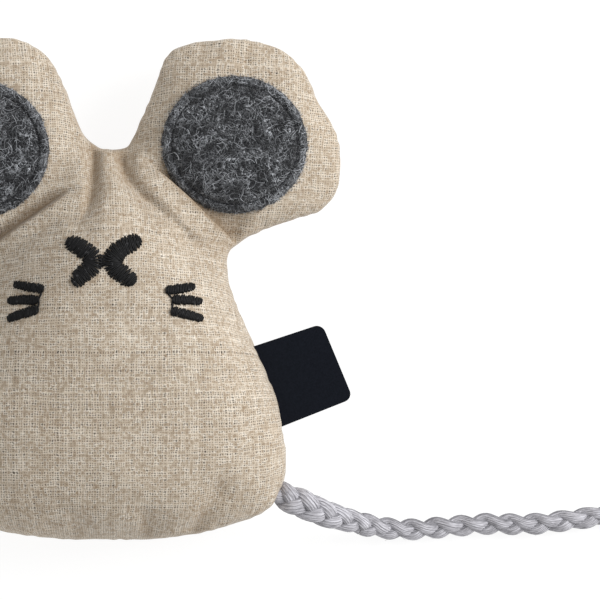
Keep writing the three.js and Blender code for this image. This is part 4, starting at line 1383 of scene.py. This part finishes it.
def lint_on(strands, radii, part, count, seed):
    """Short hairs that stand off a stretch of the plait's strands."""
    random = np.random.default_rng(seed)
    share = np.linspace(0.0, 1.0, LINT_POINTS)[:, None]
    hairs = []
    for _ in range(count):
        strand = random.integers(STRANDS)
        spot = random.integers(part.start + LINT_MARGIN, part.stop - LINT_MARGIN)
        run = strands[strand][spot + 1] - strands[strand][spot - 1]
        away = unit(random.normal(size=3))
        root = strands[strand][spot] + LINT_ROOT * radii[strand][spot] * away
        reach = random.uniform(*LINT_REACH) * radii[strand][spot]
        hairs.append(root + share * reach * away + share ** 2 * random.uniform(-1.0, 1.0) * run)
    return hairs


class MOUSE_OT_tail(bpy.types.Operator):
    """Plaits the tail from three strands of soft cotton yarn"""

    bl_idname = "mouse.tail"
    bl_label = "Tail"

    def execute(self, context):
        settings = context.scene.mouse_tail
        material = yarn_material(settings)
        line = tail_line()
        strands, radii, ups = plait_strands(line, settings)
        seam, outside, cut = (
            round((TAIL_INSIDE + out) / TAIL_STEP) for out in (0.0, TAIL_LINT_OUT, TAIL_SPLIT))
        end = len(line)
        section = ribbed_section(STRAND_RIBS, STRAND_RIB_DEPTH, STRAND_FLATNESS)
        root, plait = (
            thread_piece(name, [s[part] for s in strands], [r[part] for r in radii], section, material,
                         [u[part] for u in ups])
            for name, part in (("tail_plait_root", slice(0, cut + 1)), ("tail_plait", slice(cut, end))))
        root_lint, plait_lint = (
            thread_piece(name, hairs, [TAIL_LINT * MM] * len(hairs), round_section(3), material)
            for name, hairs in (("tail_root_lint", lint_on(strands, radii, slice(outside, cut), *ROOT_LINT)),
                                ("tail_plait_lint", lint_on(strands, radii, slice(cut, end), *PLAIT_LINT))))
        for near, far in ((root, plait), (root_lint, plait_lint)):
            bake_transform(near)
            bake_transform(far)
        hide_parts("tail_seam_end")
        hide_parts("tail_near", "tail_far")
        bpy.ops.mouse.tail_end()
        return {"FINISHED"}


class MOUSE_OT_tail_end(bpy.types.Operator):
    """Knots the tail's end and fans out the yarns past the knot"""

    bl_idname = "mouse.tail_end"
    bl_label = "Tail end"

    SIDES = 6
    KNOT_BACK = 3.0
    KNOT_YARNS = 7
    KNOT_POINTS = 90
    KNOT_TURNS = (-0.5, 2 * math.pi * 2.4)
    KNOT_GAP = 0.86
    KNOT_CORE, KNOT_SWELL, KNOT_UNEVEN = 1.0, 1.9, 0.06
    KNOT_START, KNOT_RISE, KNOT_SLANT = 1.2, 5.4, 0.5
    KNOT_YARN = 0.52
    TUFT_YARNS = 46
    TUFT_POINTS = 16
    TUFT_START = 7.0
    TUFT_LENGTH, TUFT_VARIES = 14.0, (-1.6, 1.4)
    TUFT_ROOT, TUFT_SWELL, TUFT_CLOSE = 1.6, 2.5, 0.7
    TUFT_WAVE, TUFT_WAVE_TURN = 0.3, 9
    TUFT_TURN = 2.39996
    TUFT_THIN = (0.5, 0.3)

    def execute(self, context):
        yarn = context.scene.mouse_tail.yarn
        material = bpy.data.materials["tail_cotton"]
        line = tail_line()
        self.tip = line[len(line) - round(self.KNOT_BACK / TAIL_STEP)]
        ahead = unit(line[-1] - line[-5])
        side = unit(np.cross(UP, ahead))
        self.axes = side, np.cross(ahead, side), ahead
        wraps, ends = self.knot(yarn), self.tuft()
        thin = np.linspace(*self.TUFT_THIN, self.TUFT_POINTS) * yarn
        for name, node, lines, radius in (("tail_knot_wraps", "tail_knot", wraps, self.KNOT_YARN * yarn),
                                          ("tail_tuft_yarns", "tail_tuft", ends, thin)):
            piece = thread_piece(name, lines, [radius] * len(lines), round_section(self.SIDES), material)
            declare(piece, "tail_tip", "tail_cotton", node)
        return {"FINISHED"}

    def line_at(self, *shifts):
        """A line past the tip, from its shifts to the side, up and ahead."""
        return sum((np.outer(shift, axis) for shift, axis in zip(shifts, self.axes)), self.tip)

    def knot(self, yarn):
        """Yarns that wind round the tail's end side by side and tuck in at both ends."""
        turn = np.linspace(*self.KNOT_TURNS, self.KNOT_POINTS)
        share = (turn - turn[0]) / (turn[-1] - turn[0])
        tuck = smoothstep(0.0, 0.10, share) * (1 - smoothstep(0.88, 1.0, share))
        wraps = []
        for number in range(self.KNOT_YARNS):
            spin = number * math.pi / 3
            gap = 0.0 if number == self.KNOT_YARNS - 1 else self.KNOT_GAP * yarn
            reach = (self.KNOT_CORE + self.KNOT_SWELL * tuck) * MM
            reach = reach * (1 + self.KNOT_UNEVEN * np.sin(2 * turn)) + gap * math.cos(spin)
            rise = (self.KNOT_START + self.KNOT_RISE * share) * MM + gap * math.sin(spin)
            rise = rise + self.KNOT_SLANT * MM * np.sin(turn + 0.8)
            wraps.append(self.line_at(reach * np.cos(turn), reach * np.sin(turn), rise))
        return wraps

    def tuft(self):
        """Loose yarns that fan out past the knot."""
        random = np.random.default_rng(3)
        along = np.linspace(0.0, 1.0, self.TUFT_POINTS)
        swell = self.TUFT_ROOT + self.TUFT_SWELL * smoothstep(0.0, 0.7, along)
        swell = swell - self.TUFT_CLOSE * smoothstep(0.7, 1.0, along)
        ends = []
        for number in range(self.TUFT_YARNS):
            turn = number * self.TUFT_TURN
            fan = swell * math.sqrt((number + 0.5) / self.TUFT_YARNS) * MM
            length = (self.TUFT_LENGTH + random.uniform(*self.TUFT_VARIES)) * MM
            phase = random.uniform(0, NOISE_PHASE)
            wave = self.TUFT_WAVE * MM * along * np.sin(self.TUFT_WAVE_TURN * along + phase)
            ends.append(self.line_at(fan * math.cos(turn) + wave, fan * math.sin(turn) + wave,
                                     self.TUFT_START * MM + length * along))
        return ends


LINEN_FLAT = {"body": (0.104, 0.118), "right_ear": (0.066, 0.060), "left_ear": (0.066, 0.060)}


class MOUSE_OT_linen(bpy.types.Operator):
    """Sews the linen skin and parts it at the seam and the ear roots"""

    bl_idname = "mouse.linen"
    bl_label = "Linen"

    def execute(self, context):
        settings = context.scene.mouse_linen
        material = linen_material(settings)
        skin = build_skin(settings)
        corners, normals = coordinates(skin.data), corner_normals(skin.data)
        corner, slot, flat = loop_values(skin.data)
        places = {}
        for number, face in enumerate(("front", "back")):
            places[face] = np.zeros((len(corners), 2))
            places[face][corner[slot == number]] = flat[slot == number]
        # Painted shade, kept with the corners: in each crease of the front, and in a thin line along the
        # seam's groove.
        level = corners[:, 2] / MM - SEAM
        painted_groove_shade = SEAM_SHADE * np.exp(-(level / SEAM_REACH) ** 2)
        crease_shades = np.maximum(crease_share(corners[:, :2] / MM) * (level > 0), painted_groove_shade)
        for (owner, face), faces in linen_parts(skin.data).items():
            piece = cloth_piece(owner + "_linen_" + face, corners, faces, normals, places[face],
                                settings.thickness, material, crease_shades)
            if owner == "body":
                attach(piece, "torso")
            else:
                ear = EARS[owner.split("_")[0]]
                ear.at(EAR_SPLIT)
                ear.at(EAR_STIFF)
                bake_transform(piece)
            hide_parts(owner + "_" + face + "_panel")
        bpy.data.objects.remove(skin, do_unlink=True)
        return {"FINISHED"}


class FeltSeat:
    """A smooth face that a stiff felt disc takes on an ear, fitted to the linen under it."""

    SPOTS = 25
    COVERED = 0.97
    GROOVE, GROOVE_REACH = 0.38, 0.4 * MM
    EDGE, EDGE_REACH = 0.5, 0.9 * MM
    PLUMP, PLUMP_REACH = 0.12, (2.8 * MM, 6.0 * MM)

    def __init__(self, side, settings):
        self.side, self.settings = side, settings
        self.middle = np.array(FELT_MIDDLES[side]) * MM
        self.half = np.array([settings.half_width, settings.half_height])
        spots = np.stack(np.meshgrid(*[np.linspace(-1, 1, self.SPOTS)] * 2), -1).reshape(-1, 2)
        spots = self.middle + spots[np.linalg.norm(spots, axis=1) < 1.0] * self.half
        spots = spots[EARS[side].split(spots / MM)[0] > SEAT_CLEAR]
        levels = level_on(surface_of(side + "_ear_linen_front"), spots)
        self.terms = np.linalg.lstsq(self.basis(spots), levels, rcond=None)[0]
        self.lift = np.quantile(levels - self.basis(spots) @ self.terms, self.COVERED)

    def basis(self, places):
        """Powers of a place on the disc, up to the third, and a rim term."""
        x, y = ((places - self.middle) / self.half).T
        return np.stack([np.ones_like(x), x, y, x * x, x * y, y * y, x ** 3, x * x * y, x * y * y, y ** 3,
                         (x * x + y * y) ** 2], 1)

    def level(self, places):
        """Height of the felt's underside at each place."""
        return self.basis(places) @ self.terms + self.lift

    def top(self, places):
        """Height of the felt's top: a rounded edge, a groove at the topstitch and a soft middle."""
        share = np.linalg.norm((places - self.middle) / self.half, axis=1)
        inset = (1 - share) * self.half.mean()
        groove = self.GROOVE * np.exp(-((inset - self.settings.stitch_inset) / self.GROOVE_REACH) ** 2)
        edge = self.EDGE * (1 - smoothstep(0.0, self.EDGE_REACH, inset))
        plump = self.PLUMP * smoothstep(*self.PLUMP_REACH, inset)
        return self.level(places) + self.settings.thickness * (1 - groove - edge + plump)


def ring_places(seat, shares, count, ragged):
    """Places on rings of a felt disc, from its middle out, the outer ones a little ragged."""
    round_it = circle(even_turns(count))
    wobble = ragged * slow_noise(round_it * 10.0, 1.6, 8)
    rings = [share * (1 + wobble * share ** 4)[:, None] * round_it for share in shares]
    return seat.middle + np.concatenate(rings) * seat.half


class MOUSE_OT_felt(bpy.types.Operator):
    """Lays a felt disc on each ear, with its loose fibres and its topstitch"""

    bl_idname = "mouse.felt"
    bl_label = "Felt"

    SEGMENTS = 132
    INNER_RINGS = 13
    INNER_EDGE = 4.2
    INSETS = (3.6, 3.1, 2.8, 2.6, 2.45, 2.3, 2.15, 2.0, 1.8, 1.5, 1.1, 0.7, 0.35, 0.12, 0.0)
    RAGGED = 0.006
    ROUGH = 0.035
    SUNK = 0.25
    FIBRE_POINTS = 6
    FIBRE_SIDES = 3
    FIBRE_RADII = (0.04, 0.085)
    FIBRE_LENGTHS = (1.0, 3.4)
    FIBRE_CURL = 1.8
    FIBRE_LIFTS = (0.02, 0.16)
    FIBRE_TIP_LIFT = 0.10
    FIBRE_INSIDE = 0.985
    FIBRE_LIMIT = 1.03
    FIBRE_GROOVE_SHADE = 0.6
    RIM_EVERY = 4
    RIM_SHARES = (0.9, 1.0)
    RIM_LENGTHS = (1.0, 2.4)
    RIM_CLUMP = 0.8
    STITCH_POINTS = 8
    STITCH_PITCH = 1.18
    STITCH_SHARE = 1 / 1.1

    def execute(self, context):
        settings = context.scene.mouse_felt
        material, fibre = felt_material(settings), fibre_material(settings)
        stitch = thread_material("topstitch_thread", settings.stitch, settings.light, 0.2)
        for number, side in enumerate(("right", "left")):
            seat = FeltSeat(side, settings)
            disc = self.disc(seat, material, 21 + number)
            fibres = self.fibres(seat, fibre, 31 + number)
            topstitch = self.topstitch(seat, stitch)
            declare(disc, side + "_ear", "felt", side + "_ear_felt")
            declare(fibres, side + "_ear", "felt")
            declare(topstitch, side + "_ear", "topstitch_thread", side + "_felt_topstitch")
        return {"FINISHED"}

    def disc(self, seat, material, seed):
        """The disc itself, top and underside, with a ragged rim."""
        radius, count = seat.half.mean(), self.SEGMENTS
        inner = np.linspace(0.03, 1 - self.INNER_EDGE * MM / radius, self.INNER_RINGS)
        shares = np.concatenate([inner, 1 - np.array(self.INSETS) * MM / radius])
        places = ring_places(seat, shares, count, self.RAGGED)
        random = np.random.default_rng(seed)
        top = seat.top(places) + random.normal(0.0, self.ROUGH * MM, len(places))
        base = seat.level(places) - self.SUNK * MM
        total = len(places)
        rings = np.arange(total).reshape(-1, count)
        after = np.roll(rings, -1, 1)
        faces = quads(rings[:-1], rings[1:], after[1:], after[:-1])
        under = [tuple(i + total for i in reversed(face)) for face in faces]
        skirt = quads(rings[-1], rings[-1] + total, after[-1] + total, after[-1])
        lids = [tuple(range(count)), tuple(total + k for k in reversed(range(count)))]
        corners = np.concatenate([np.column_stack([places, top]), np.column_stack([places, base])])
        return new_piece(seat.side + "_felt_disc", corners, faces + under + skirt + lids, material)

    def fibres(self, seat, material, seed):
        """Short curved fibres that stand a little off the felt."""
        settings = seat.settings
        random = np.random.default_rng(seed)
        lines, shades = [], []
        along = np.linspace(-0.5, 0.5, self.FIBRE_POINTS)
        for number in range(settings.fibres):
            rim = number % self.RIM_EVERY == 0
            if rim:
                share = random.uniform(*self.RIM_SHARES)
            else:
                share = math.sqrt(random.uniform(0.0, 1.0)) * self.FIBRE_INSIDE
            turn = random.uniform(0.0, 2 * math.pi)
            place = seat.middle + share * seat.half * [math.cos(turn), math.sin(turn)]
            heading = random.uniform(0.0, 2 * math.pi)
            curl = random.uniform(-self.FIBRE_CURL, self.FIBRE_CURL)
            length = random.uniform(*(self.RIM_LENGTHS if rim else self.FIBRE_LENGTHS)) * MM
            step = np.cumsum(circle(heading + curl * along) * length / (self.FIBRE_POINTS - 1), 0)
            path = place + step - step[2]
            limit = np.linalg.norm((path - seat.middle) / seat.half, axis=1)
            drawn_in = np.minimum(self.FIBRE_LIMIT / np.maximum(limit, 1.0), 1.0)[:, None]
            path = seat.middle + (path - seat.middle) * drawn_in
            lift = random.uniform(*self.FIBRE_LIFTS) * MM
            lift = lift + self.FIBRE_TIP_LIFT * MM * np.abs(2 * along) ** 2 * random.uniform(0.0, 1.0)
            lines.append(np.column_stack([path, seat.top(path) + lift]))
            clump = sum(slow_noise(place[None] / MM, pitch, seed)[0] for pitch, seed in FELT_CLUMPS)
            clump = self.RIM_CLUMP if rim else smoothstep(-0.9, 0.9, clump)
            # Fibres near the topstitch are darker, as painted shade in its groove.
            apart = (1 - share) * seat.half.mean() - settings.stitch_inset
            painted_groove_shade = math.exp(-(apart / (self.FIBRE_GROOVE_SHADE * MM)) ** 2)
            shades.append(random.uniform(0.0, 1.0) ** 1.7 * (0.15 + 0.85 * clump) * (1 - 0.7 * painted_groove_shade))
        radii = [random.uniform(*self.FIBRE_RADII) * MM for _ in lines]
        section = round_section(self.FIBRE_SIDES)
        piece = thread_piece(seat.side + "_felt_fibres", lines, radii, section, material)
        write_shade(piece.data, np.repeat(shades, self.FIBRE_POINTS * self.FIBRE_SIDES))
        return piece

    def topstitch(self, seat, material):
        """Stitches end to end in the groove near the felt's edge."""
        settings, radius = seat.settings, seat.half.mean()
        share = 1 - settings.stitch_inset / radius
        count = round(2 * math.pi * share * radius / (settings.stitch_length * self.STITCH_PITCH))
        arch = np.sin(np.linspace(0.0, math.pi, self.STITCH_POINTS)) ** 0.6
        lines = []
        for number in range(count):
            turns = 2 * math.pi * (number + np.linspace(0.0, self.STITCH_SHARE, self.STITCH_POINTS)) / count
            places = seat.middle + share * seat.half * circle(turns)
            level = seat.top(places) + settings.stitch_thread * (0.55 * arch - 0.45)
            lines.append(np.column_stack([places, level]))
        return thread_piece(seat.side + "_felt_stitches", lines, [settings.stitch_thread / 2] * count,
                            round_section(8), material)


def satin(tree, path, widths, settings, seed):
    """Threads side by side across a path on the linen, each bowed up in the middle and sunk at its ends."""
    random = np.random.default_rng(seed)
    line = smooth_line(np.array(path) * MM, settings.pitch)
    run = unit(np.gradient(line, axis=0))
    half = np.interp(np.linspace(0, 1, len(line)), np.linspace(0, 1, len(widths)), widths) * MM / 2
    number = np.arange(len(line)) + 0.5
    from_end = np.minimum(number, number[::-1]) * settings.pitch
    short = np.clip(1 - from_end / (STROKE_ROUND * half.max()), 0.0, 1.0)
    half *= np.sqrt(1 - short ** 2)
    bow = np.linspace(-1.0, 1.0, STITCH_POINTS)
    lines = []
    for place, way, reach in zip(line, run, half):
        across = np.array([-way[1], way[0]])
        slant = random.normal(*SATIN_SLANT)
        left, right = (reach * (1 + random.normal(0.0, SATIN_ENDS)) for _ in range(2))
        far = np.where(bow < 0, left, right) * bow
        places = place + far[:, None] * (across + slant * way)
        places = places + random.normal(0.0, SATIN_STRAY) * settings.pitch * way
        rise = settings.rise * (1 - np.abs(bow) ** SATIN_BOW) + random.normal(0.0, SATIN_UNEVEN) * MM
        sunk = SATIN_SUNK * settings.thread * np.abs(bow) ** SATIN_SUNK_END
        level = level_on(tree, places) + SATIN_BED * settings.thread + rise - sunk
        lines.append(np.column_stack([places, level]))
    return lines


def straight_stitch(tree, ends, settings):
    """One plain thread between two places on the linen, sunk at both ends."""
    share = np.linspace(0.0, 1.0, STITCH_POINTS)[:, None]
    places = (np.array(ends[0]) * (1 - share) + np.array(ends[1]) * share) * MM
    arch = np.sin(np.linspace(0.0, math.pi, STITCH_POINTS)) ** 0.5
    return np.column_stack([places, level_on(tree, places) + settings.thread * (0.7 * arch - 0.3)])


class MOUSE_OT_embroidery(bpy.types.Operator):
    """Stitches the nose and the whiskers in black satin stitch"""

    bl_idname = "mouse.embroidery"
    bl_label = "Embroidery"

    def execute(self, context):
        settings = context.scene.mouse_stitch
        material = thread_material("embroidery_thread", settings.black, settings.lint_and_sheen, 0.4)
        tree = surface_of("body_linen_front")
        strokes = {}
        for number, (side, (path, widths)) in enumerate(NOSE.items()):
            strokes["nose_stitch_" + side] = satin(tree, path, widths, settings, 40 + number)
        for number, (place, path) in enumerate(WHISKERS.items()):
            strokes["whisker_" + place] = satin(tree, path, WHISKER_WIDTHS, settings, 50 + number)
        for node, jumps in STRAIGHT_STITCHES.items():
            strokes[node] += [straight_stitch(tree, ends, settings) for ends in jumps]
        for node, lines in strokes.items():
            piece = thread_piece(node + "_threads", lines, [settings.thread / 2] * len(lines),
                                 round_section(6), material)
            declare(piece, "torso", "embroidery_thread", node)
        return {"FINISHED"}


class MOUSE_OT_label(bpy.types.Operator):
    """Cuts the bare side label and tucks its end into the seam"""

    bl_idname = "mouse.label"
    bl_label = "Label"

    FLAT = (0.0205, 0.0245)
    CORNER_POINTS = 8
    LENGTH = 17.5
    DROOP = 0.5
    WAVE, WAVE_TURN, WAVE_WIDTH = 0.35, 3.0, 9.0
    BEND = (-2.2, 1.2)

    def execute(self, context):
        settings = context.scene.mouse_label
        material = label_material(settings)
        pivot, axis = (np.array(JOINTS["label_flap"][key]) for key in ("pos_m", "axis"))
        out = np.cross(axis, -UP)
        outline = self.outline(settings.corner / MM, LABEL_TUCK * out[:2])
        grid = plan_grid(outline.min(0), outline.max(0), LABEL_SPACING).reshape(-1, 2)
        clear = near_line(grid, outline, closed=True)[0] > 0.5 * LABEL_SPACING
        corners, faces, _ = plan_patch(outline, grid[inside_of(grid, outline) & clear])
        far, along = (((corners * MM - pivot[:2]) @ way[:2]) / MM for way in (out, axis))
        share = np.clip(far / self.LENGTH, 0.0, 1.2)
        wave = self.WAVE * np.sin(self.WAVE_TURN * share) * np.cos(along / self.WAVE_WIDTH)
        lift = SEAM + settings.thickness / MM / 2 - self.DROOP * share ** 2 + wave
        solid = np.column_stack([corners, lift]) * MM
        label = cloth_piece("side_label_tape", solid, faces, np.tile(UP, (len(solid), 1)),
                            np.stack([far, along], 1) * MM, settings.thickness, material)
        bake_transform(label)
        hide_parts("side_label", "label_seam_end")
        return {"FINISHED"}

    def outline(self, radius, tuck):
        """The label's outline in plan: its end in the seam, its rounded corners, its long edges divided."""
        top_in, top_out, low_out, low_in = (np.array(corner) for corner in LABEL_CORNERS)
        points = [top_in - tuck, low_in - tuck]
        for corner, before, after in ((low_out, low_in, top_out), (top_out, low_out, top_in)):
            first, second = unit(before - corner), unit(after - corner)
            for turn in np.linspace(0.0, math.pi / 2, self.CORNER_POINTS):
                inset = first * (1 - math.sin(turn)) + second * (1 - math.cos(turn))
                points.append(corner + radius * inset)
        divided = []
        for a, b in zip(points, np.roll(points, -1, 0)):
            parts = max(1, round(float(np.linalg.norm(b - a)) / LABEL_SPACING))
            divided += [a + (b - a) * k / parts for k in range(parts)]
        return np.array(divided)


def roughened(node, name, material, voxel, shrink, bumps, bump_size):
    """A soft copy of a CAD node: remeshed, drawn in and given an uneven face."""
    piece = link_object(name, bpy.data.objects[node].data.copy())
    edit_whole(piece, bpy.ops.mesh.remove_doubles, threshold=1e-5)
    piece.data.remesh_voxel_size = voxel
    bpy.ops.object.voxel_remesh()
    mesh = piece.data
    places = coordinates(mesh)
    noise = slow_noise(places[:, :2] + places[:, 2:], bump_size, ROUGH_SEED) - 1.0
    place_corners(mesh, places + corner_normals(mesh) * (bumps * noise - shrink)[:, None])
    mesh.materials.clear()
    mesh.materials.append(material)
    bpy.ops.object.shade_smooth()
    return piece


class MOUSE_OT_filling(bpy.types.Operator):
    """Packs the fibre filling into the body and the ears"""

    bl_idname = "mouse.filling"
    bl_label = "Filling"

    BODIES = {"body_front_filling": "torso", "body_back_filling": "torso",
              "right_ear_filling": "right_ear", "left_ear_filling": "left_ear"}

    def execute(self, context):
        material = soft_material("filling", (0.72, 0.70, 0.65, 1.0), (0.93, 0.92, 0.88, 1.0), scale=420.0,
                                 roughness=0.95)
        linen = surface_of(*(owner + "_linen_front" for owner in LINEN_FLAT))
        outline = smooth_line(OUTLINE, OUTLINE_SPACING, closed=True)
        for node, body in self.BODIES.items():
            piece = roughened(node, node + "_fibre", material, voxel=0.0018, shrink=0.0012, bumps=0.0003,
                              bump_size=0.007)
            places = coordinates(piece.data)
            places[:, :2] = keep_in(places[:, :2] / MM, outline, FILLING_INSET) * MM
            above = places[:, 2] > SEAM * MM
            under_linen = level_on(linen, places[above, :2]) - FILLING_CLEAR * MM
            places[above, 2] = np.minimum(places[above, 2], under_linen)
            place_corners(piece.data, places)
            declare(piece, body, "filling", node)
        return {"FINISHED"}


class MOUSE_OT_catnip(bpy.types.Operator):
    """Fills the pouch with dried catnip and ties its neck"""

    bl_idname = "mouse.catnip"
    bl_label = "Catnip"

    def execute(self, context):
        muslin = soft_material("pouch_muslin", (0.70, 0.66, 0.56, 1.0), (0.86, 0.83, 0.74, 1.0), scale=1500.0,
                               roughness=0.9)
        herb = soft_material("dried_herb", (0.08, 0.09, 0.03, 1.0), (0.30, 0.30, 0.13, 1.0), scale=900.0,
                             roughness=0.9)
        thread = bpy.data.materials["embroidery_thread"]
        lump = roughened("dried_catnip", "dried_catnip_leaf", herb, voxel=0.0007, shrink=0.0003, bumps=0.0004,
                         bump_size=0.003)
        pouch = roughened("catnip_pouch", "catnip_pouch_cloth", muslin, voxel=0.00028, shrink=0.0,
                          bumps=0.00005, bump_size=0.004)
        tie = roughened("pouch_tie", "pouch_tie_thread", thread, voxel=0.0002, shrink=0.0, bumps=0.00004,
                        bump_size=0.001)
        declare(lump, "torso", "dried_herb", "dried_catnip")
        declare(pouch, "torso", "pouch_muslin", "catnip_pouch")
        declare(tie, "torso", "embroidery_thread", "pouch_tie")
        return {"FINISHED"}


class MOUSE_PT_panel(bpy.types.Panel):
    """The mouse's settings and its operators, in the 3D view's sidebar"""

    bl_label = "Catnip mouse"
    bl_idname = "MOUSE_PT_panel"
    bl_space_type = "VIEW_3D"
    bl_region_type = "UI"
    bl_category = "Mouse"

    def draw(self, context):
        for name, operators in STEPS:
            box = self.layout.box()
            group = getattr(context.scene, "mouse_" + name)
            for key in group.__annotations__:
                box.prop(group, key)
            for operator in operators:
                box.operator("mouse." + operator)


SETTINGS = {"stage": MouseStage, "tail": MouseTail, "linen": MouseLinen, "felt": MouseFelt,
            "stitch": MouseStitch, "label": MouseLabel}
STEPS = [("stage", ["stage"]), ("tail", ["tail"]), ("linen", ["linen", "filling", "catnip"]),
         ("felt", ["felt"]), ("stitch", ["embroidery"]), ("label", ["label"])]
OPERATORS = [MOUSE_OT_stage, MOUSE_OT_tail, MOUSE_OT_tail_end, MOUSE_OT_linen, MOUSE_OT_felt,
             MOUSE_OT_embroidery, MOUSE_OT_label, MOUSE_OT_filling, MOUSE_OT_catnip]


def register():
    """Adds the settings, the operators and the panel to Blender."""
    for kind in [*SETTINGS.values(), *OPERATORS, MOUSE_PT_panel]:
        bpy.utils.register_class(kind)
    for name, kind in SETTINGS.items():
        setattr(bpy.types.Scene, "mouse_" + name, PointerProperty(type=kind))


def unregister():
    """Takes them out again."""
    for name in SETTINGS:
        delattr(bpy.types.Scene, "mouse_" + name)
    for kind in reversed([*SETTINGS.values(), *OPERATORS, MOUSE_PT_panel]):
        bpy.utils.unregister_class(kind)


def main():
    """Builds the mouse on its stage."""
    register()
    bpy.ops.object.select_all(action="DESELECT")
    bpy.ops.mouse.stage()
    bpy.ops.mouse.tail()
    bpy.ops.mouse.linen()
    bpy.ops.mouse.felt()
    bpy.ops.mouse.embroidery()
    bpy.ops.mouse.label()
    bpy.ops.mouse.filling()
    bpy.ops.mouse.catnip()


if __name__ == "__main__":
    main()
